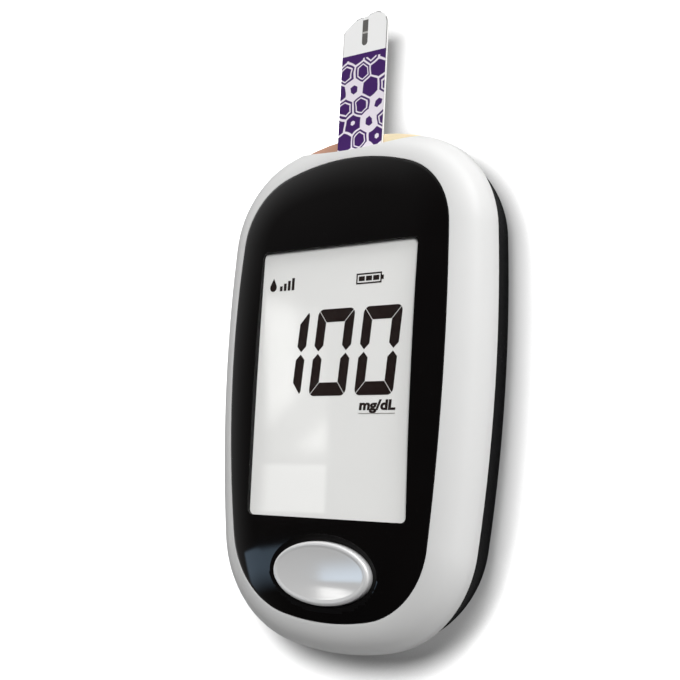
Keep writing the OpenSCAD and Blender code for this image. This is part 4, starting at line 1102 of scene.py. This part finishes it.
def strip_print():
    """A generic print of violet hexagons between pale lines, some dotted, ringed or pale."""
    material, tree, shader = new_material("strip_print")
    coords = object_coords(tree)
    # All sizes are in millimetres: the cell across its flats, and the wander of the cells.
    cell, wander = 3.5, 1.6
    flat = vector(tree, "MULTIPLY", coords, (1000.0, 1000.0, 0.0))
    warp = vector(tree, "SUBTRACT", noise(tree, flat, 0.25, 1.0, output=1), (0.5, 0.5, 0.5))
    p = vector(tree, "ADD", flat, vector(tree, "MULTIPLY", warp, (wander, wander, 0.0)))

    # The nearer centre of two crossed grids makes hexagons.
    half = (cell / 2, cell * math.sqrt(3) / 2, 1.0)
    minus = tuple(-v for v in half)
    first = vector(tree, "WRAP", p, half, minus)
    second = vector(tree, "WRAP", vector(tree, "SUBTRACT", p, half), half, minus)
    far = [vector(tree, "LENGTH", v) for v in (first, second)]
    within = mix(tree, maths(tree, "LESS_THAN", far[1], far[0]), first, second, "VECTOR")
    size = vector(tree, "ABSOLUTE", within)
    slanted = vector(tree, "DOT_PRODUCT", size, (0.5, math.sqrt(3) / 2, 0.0))
    reach = maths(tree, "MAXIMUM", slanted, axes(tree, size)[0])
    snapped = vector(tree, "SNAP", vector(tree, "SUBTRACT", p, within), (0.3, 0.3, 0.3))
    chance = node(tree, "TexWhiteNoise", {"Vector": snapped}).outputs[0]

    lines = remap(tree, reach, cell / 2 - 0.22, cell / 2 - 0.15)
    ring = (remap(tree, reach, 0.95, 1.01), remap(tree, reach, 1.25, 1.19))
    ringed = chain(tree, "MULTIPLY", *ring, maths(tree, "LESS_THAN", chance, 0.3))
    dotted = maths(tree, "COMPARE", chance, 0.72, 0.12)
    dot = maths(tree, "MULTIPLY", remap(tree, reach, 0.48, 0.42), dotted)
    pale = maths(tree, "GREATER_THAN", chance, 0.9)
    pale_cell = maths(tree, "MULTIPLY", remap(tree, reach, 0.7, 0.76), pale)
    marks = chain(tree, "MAXIMUM", lines, ringed, dot, pale_cell)
    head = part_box("strip_label")[1].y - 0.9 * MM
    below_head = maths(tree, "LESS_THAN", axes(tree, coords)[1], head)
    light = maths(tree, "MULTIPLY", marks, below_head)

    printed = mix(tree, light, setting_colour("print_dark"), setting_colour("print_light"))
    skin = moulded_skin(tree, printed, 0.32, 0.03, grain=6000.0)
    ink = maths(tree, "MULTIPLY_ADD", skin["Height"], 0.2, light)
    feed(shader, {
        "Base Color": skin["Color"],
        "Roughness": skin["Roughness"],
        "Normal": bump(tree, ink, 0.1, 0.01 * MM),
    })
    return material


def zebra_rubber():
    """Rubber of thin dark and pale layers side by side."""
    material, tree, shader = new_material("zebra_rubber")
    coords, layers_per_metre = object_coords(tree), 2500.0
    across = maths(tree, "MULTIPLY", axes(tree, coords)[0], layers_per_metre)
    dark = maths(tree, "GREATER_THAN", maths(tree, "FRACT", across), 0.5)
    feed(shader, {
        "Base Color": mix(tree, dark, (0.45, 0.3, 0.28, 1.0), (0.015, 0.015, 0.015, 1.0)),
        "Roughness": remap(tree, noise(tree, coords, 3000.0), 0.3, 0.7, 0.5, 0.7),
    })
    return material


def board_green():
    """Green coat over copper tracks, with round plated pads."""
    material, tree, shader = new_material("board_green")
    coords, tracks_per_metre = object_coords(tree), 900.0
    across = maths(tree, "ADD", axes(tree, coords)[0], 1.0)
    lane = maths(tree, "FRACT", maths(tree, "MULTIPLY", across, tracks_per_metre))
    where = remap(tree, noise(tree, coords, 140.0, 0.0, (1.0, 0.25, 1.0)), 0.5, 0.52)
    track = maths(tree, "MULTIPLY", maths(tree, "LESS_THAN", lane, 0.45), where)
    green = setting_colour("board")
    raised_green = (green[0] * 1.6, green[1] * 1.5, green[2] * 1.5, 1.0)
    spread_out = {"Vector": coords, "Scale": 260.0, "Randomness": 0.6}
    cells = node(tree, "TexVoronoi", spread_out, voronoi_dimensions="2D")
    pad = maths(tree, "LESS_THAN", cells.outputs["Distance"], 0.13)
    coated = mix(tree, track, green, raised_green)
    feed(shader, {
        "Base Color": mix(tree, pad, coated, (0.75, 0.68, 0.5, 1.0)),
        "Roughness": remap(tree, noise(tree, coords, 900.0), 0.3, 0.7, 0.25, 0.38),
        "Normal": bump(tree, maths(tree, "ADD", track, pad), 0.3, 0.03 * MM),
        "Metallic": pad,
    })
    return material


def cell_sleeve():
    """Printed sleeve in two plain tones with bare metal ends."""
    material, tree, shader = new_material("cell_sleeve")
    coords = object_coords(tree)
    facing = axes(tree, node(tree, "NewGeometry").outputs["True Normal"])
    end = maths(tree, "GREATER_THAN", maths(tree, "ABSOLUTE", facing[1]), 0.3)
    off_middle = maths(tree, "ADD", axes(tree, coords)[1], 5.5 * MM)
    tone = maths(tree, "GREATER_THAN", maths(tree, "ABSOLUTE", off_middle), 15.0 * MM)
    sleeve = mix(tree, tone, setting_colour("cell"), (0.5, 0.5, 0.52, 1.0))
    feed(shader, {
        "Base Color": mix(tree, end, sleeve, (0.7, 0.7, 0.7, 1.0)),
        "Metallic": end,
        "Roughness": remap(tree, noise(tree, coords, 600.0, 3.0), 0.3, 0.7, 0.22, 0.32),
    })
    return material


# ---- Stage ----

# Soft glows round and under the meter: azimuth and elevation in degrees, brightness.
SOFT_GLOWS = (
    (0, 6, 1.2), (45, 12, 4.1), (90, 12, 2.3), (135, 12, 0.9), (180, 0, 1.7), (0, -90, 8.0)
)
GLOW_FOCUS = 12.0

# Panes of the tall window on the left. Each has its light and its sides: where a side starts,
# where the pane is full and the direction along which both are measured. The outer panes show on
# glossy pieces, the inner panes in the display's film.
LEFTWARD, UPWARD, SLANTED = (-1.0, 0.0, 0.0), (0.0, 1.0, 0.0), (-0.72, 1.0, 0.0)
MULLION = (0.619, 0.623, LEFTWARD)
HEAD = (0.135, 0.127, UPWARD)
JAMB = (0.662, 0.656, LEFTWARD)
OUTER_PANES = (
    ((0.82, 1.14, 1.5), (
        (0.122, 0.112, (-0.36, 1.0, 0.0)),
        (0.825, 0.805, LEFTWARD),
        MULLION,
        (0.16, 0.3, (-0.667, 1.0, 0.0)),
    )),
    ((2.6, 2.6, 2.56), (
        (0.665, 0.656, LEFTWARD), MULLION, (-0.076, -0.068, UPWARD), (-0.004, -0.014, UPWARD)
    )),
)
INNER_PANES = (
    ((4.0, 4.0, 3.95), ((0.549, 0.557, SLANTED), JAMB, (0.63, 0.646, LEFTWARD), HEAD)),
    ((3.8, 3.8, 3.75), ((0.535, 0.527, SLANTED), MULLION, (0.068, 0.0715, UPWARD))),
    ((1.4, 1.4, 1.37), (JAMB, MULLION, (0.06, 0.0655, UPWARD), HEAD)),
)


def window_panes(tree, direction, panes, shown):
    """Light of some of the window's panes by direction, for the rays that shown picks."""
    total = (0.0, 0.0, 0.0)
    for light, sides in panes:
        share = shown
        for edge, inside, plane in sides:
            across = vector(tree, "DOT_PRODUCT", direction, plane)
            full = remap(tree, across, edge, inside, smooth_ends=True)
            share = maths(tree, "MULTIPLY", share, full)
        total = vector(tree, "ADD", vector(tree, "SCALE", light, share), total)
    return total


def surroundings(settings):
    """The world: soft glows, the window that glossy pieces mirror, and white behind it all."""
    world = bpy.context.scene.world = bpy.data.worlds.new("surroundings")
    world.use_nodes = True
    tree = world.node_tree
    tree.nodes.clear()
    direction = node(tree, "TexCoord").outputs["Generated"]
    strength = 0.0
    for azimuth, elevation, level in SOFT_GLOWS:
        a, e = math.radians(azimuth), math.radians(elevation)
        towards = (math.cos(e) * math.cos(a), math.cos(e) * math.sin(a), math.sin(e))
        facing = maths(tree, "MAXIMUM", vector(tree, "DOT_PRODUCT", direction, towards), 0.0)
        lobe = maths(tree, "POWER", facing, GLOW_FOCUS)
        strength = maths(tree, "MULTIPLY_ADD", lobe, level * settings.glow, strength)
    path = node(tree, "LightPath").outputs
    through = path["Is Transmission Ray"]
    mirrored = maths(tree, "SUBTRACT", path["Is Glossy Ray"], through, clamp=True)
    outer = window_panes(tree, direction, OUTER_PANES, mirrored)
    inner = window_panes(tree, direction, INNER_PANES, through)
    panes = vector(tree, "SCALE", vector(tree, "ADD", outer, inner), settings.window)
    sky = node(tree, "Background", {"Color": vector(tree, "ADD", panes, strength)}).outputs[0]
    white = node(tree, "Background", {"Color": (1.0, 1.0, 1.0, 1.0)}).outputs[0]
    seen = node(tree, "MixShader", {0: path["Is Camera Ray"], 1: sky, 2: white}).outputs[0]
    node(tree, "OutputWorld", {"Surface": seen})


def floor_paper(settings):
    """White paper, which shades close to the meter and whitens far away."""
    material, tree, shader = new_material("floor_paper")
    tree.nodes.remove(shader)
    path = node(tree, "LightPath").outputs
    reach, underside_gap = 16.0 * MM, 1.2 * MM
    open_sky = node(tree, "AmbientOcclusion", {"Distance": reach}, samples=8).outputs["AO"]
    glossy = maths(tree, "ADD", path["Is Glossy Ray"], path["Is Transmission Ray"], clamp=True)
    # Painted shade: the floor that glossy pieces mirror is painted dark close to the meter.
    uncovered = remap(tree, open_sky, 0.6, 1.0)
    reflection = mix(tree, uncovered, (0.01, 0.01, 0.01, 1.0), settings.floor_mirrored[:])
    paper = mix(tree, glossy, settings.floor_bounce[:], reflection)
    # Painted shade: close to the meter the floor's colour, as the camera sees it, darkens to
    # floor_shaded, and the fill glow lifts it a little.
    near = remap(tree, open_sky, 0.77, 0.5)
    seen = mix(tree, near, settings.floor[:], settings.floor_shaded[:])
    skin = moulded_skin(tree, mix(tree, path["Is Camera Ray"], paper, seen), 0.7, 0.0)
    values = {"Color": skin["Color"], "Roughness": skin["Roughness"]}
    diffuse = node(tree, "BsdfDiffuse", values).outputs[0]
    far = remap(tree, vector(tree, "LENGTH", object_coords(tree)), 0.07, 0.2)
    glow = maths(tree, "MULTIPLY_ADD", near, settings.fill, far)
    strength = maths(tree, "MULTIPLY", path["Is Camera Ray"], glow)
    even = node(tree, "Emission", {"Strength": strength}).outputs[0]
    lit = node(tree, "AddShader", {0: diffuse, 1: even}).outputs[0]
    # Seen from below, the floor is clear. Short rays pass too, so that the glow from below
    # reaches the underside, which lies on the floor.
    behind = node(tree, "NewGeometry").outputs["Backfacing"]
    short = maths(tree, "LESS_THAN", path["Ray Length"], underside_gap)
    clear = maths(tree, "MAXIMUM", behind, short)
    see_through = node(tree, "BsdfTransparent").outputs[0]
    mixed = node(tree, "MixShader", {0: clear, 1: lit, 2: see_through}).outputs[0]
    feed(tree.nodes["Material Output"], {"Surface": mixed})
    return material


def lamp(name, watts, side, at, floor, state):
    """A square lamp that faces the meter. state says whether it lights the floor alone."""
    data = bpy.data.lights.new(name, "AREA")
    data.shape, data.size, data.energy = "SQUARE", side, watts
    light = link(bpy.data.objects.new(name, data))
    turn = (-Vector(at)).to_track_quat("-Z", "Y")
    light.matrix_world = Matrix.LocRotScale(Vector(at), turn, None)
    light.visible_camera = light.visible_glossy = light.visible_transmission = False
    lit_floor = bpy.data.collections.new(name + "_on_floor")
    lit_floor.objects.link(floor)
    lit_floor.collection_objects[0].light_linking.link_state = state
    light.light_linking.receiver_collection = lit_floor


def add_camera():
    """A camera whose focal length is given in the pixels of a square frame."""
    focal, frame_side = 1200, 680
    camera = link(bpy.data.objects.new("camera", bpy.data.cameras.new("camera")))
    camera.data.sensor_width = 36.0
    camera.data.lens = focal * camera.data.sensor_width / frame_side
    camera.data.clip_start, camera.data.clip_end = 0.01, 10.0
    right = Vector((0.79056, 0.05186, -0.61018))
    up = Vector((0.04292, 0.98926, 0.13969))
    at = Vector((121.116, -19.621, 172.317)) * MM
    columns = Matrix((right, up, right.cross(up))).transposed().to_4x4()
    camera.matrix_world = Matrix.Translation(at) @ columns
    bpy.context.scene.camera = camera


class METER_OT_stage(bpy.types.Operator):
    """Adds the floor, the lamps, the surroundings and the camera"""

    bl_idname = "meter.stage"
    bl_label = "Stage"

    def execute(self, context):
        settings = context.scene.meter_stage
        half, below = 3.0, -0.02 * MM
        corners = ((-half, -half), (half, -half), (half, half), (-half, half))
        floor = new_solid("floor", [(x, y, below) for x, y in corners], [(0, 1, 2, 3)])
        floor.data.materials.append(floor_paper(settings))
        lamp("key_lamp", settings.key, 0.27, (0.36, 0.28, 0.79), floor, "EXCLUDE")
        lamp("floor_lamp", settings.floor_lamp, 0.07, (0.06, 0.018, 0.15), floor, "INCLUDE")
        surroundings(settings)
        add_camera()
        context.scene.view_settings.view_transform = "Standard"
        return {"FINISHED"}


# ---- Add-on ----

OPERATORS = (
    METER_OT_front_shell,
    METER_OT_rear_shell,
    METER_OT_front_panel,
    METER_OT_button,
    METER_OT_display,
    METER_OT_port,
    METER_OT_strip,
    METER_OT_inside,
    METER_OT_power,
    METER_OT_back,
    METER_OT_stage,
)

SETTINGS = {
    "meter_casing": CasingSizes,
    "meter_panel": PanelSizes,
    "meter_colours": FinishColours,
    "meter_stage": StageSettings,
}


class METER_PT_builder(bpy.types.Panel):
    """Lists the meter's settings and the steps that build it"""

    bl_idname = "METER_PT_builder"
    bl_label = "Blood Glucose Meter"
    bl_space_type = "VIEW_3D"
    bl_region_type = "UI"
    bl_category = "Glucose Meter"

    def draw(self, context):
        for name, group in SETTINGS.items():
            box = self.layout.box()
            box.label(text=group.__doc__)
            for setting in group.__annotations__:
                box.prop(getattr(context.scene, name), setting)
        column = self.layout.column()
        for operator in OPERATORS:
            column.operator(operator.bl_idname)


def register():
    for group in SETTINGS.values():
        bpy.utils.register_class(group)
    for operator in OPERATORS:
        bpy.utils.register_class(operator)
    bpy.utils.register_class(METER_PT_builder)
    for name, group in SETTINGS.items():
        setattr(bpy.types.Scene, name, bpy.props.PointerProperty(type=group))


def unregister():
    for name in SETTINGS:
        delattr(bpy.types.Scene, name)
    bpy.utils.unregister_class(METER_PT_builder)
    for operator in reversed(OPERATORS):
        bpy.utils.unregister_class(operator)
    for group in reversed(SETTINGS.values()):
        bpy.utils.unregister_class(group)


def main():
    register()
    for operator in OPERATORS:
        group, name = operator.bl_idname.split(".")
        getattr(getattr(bpy.ops, group), name)()


if __name__ == "__main__":
    main()
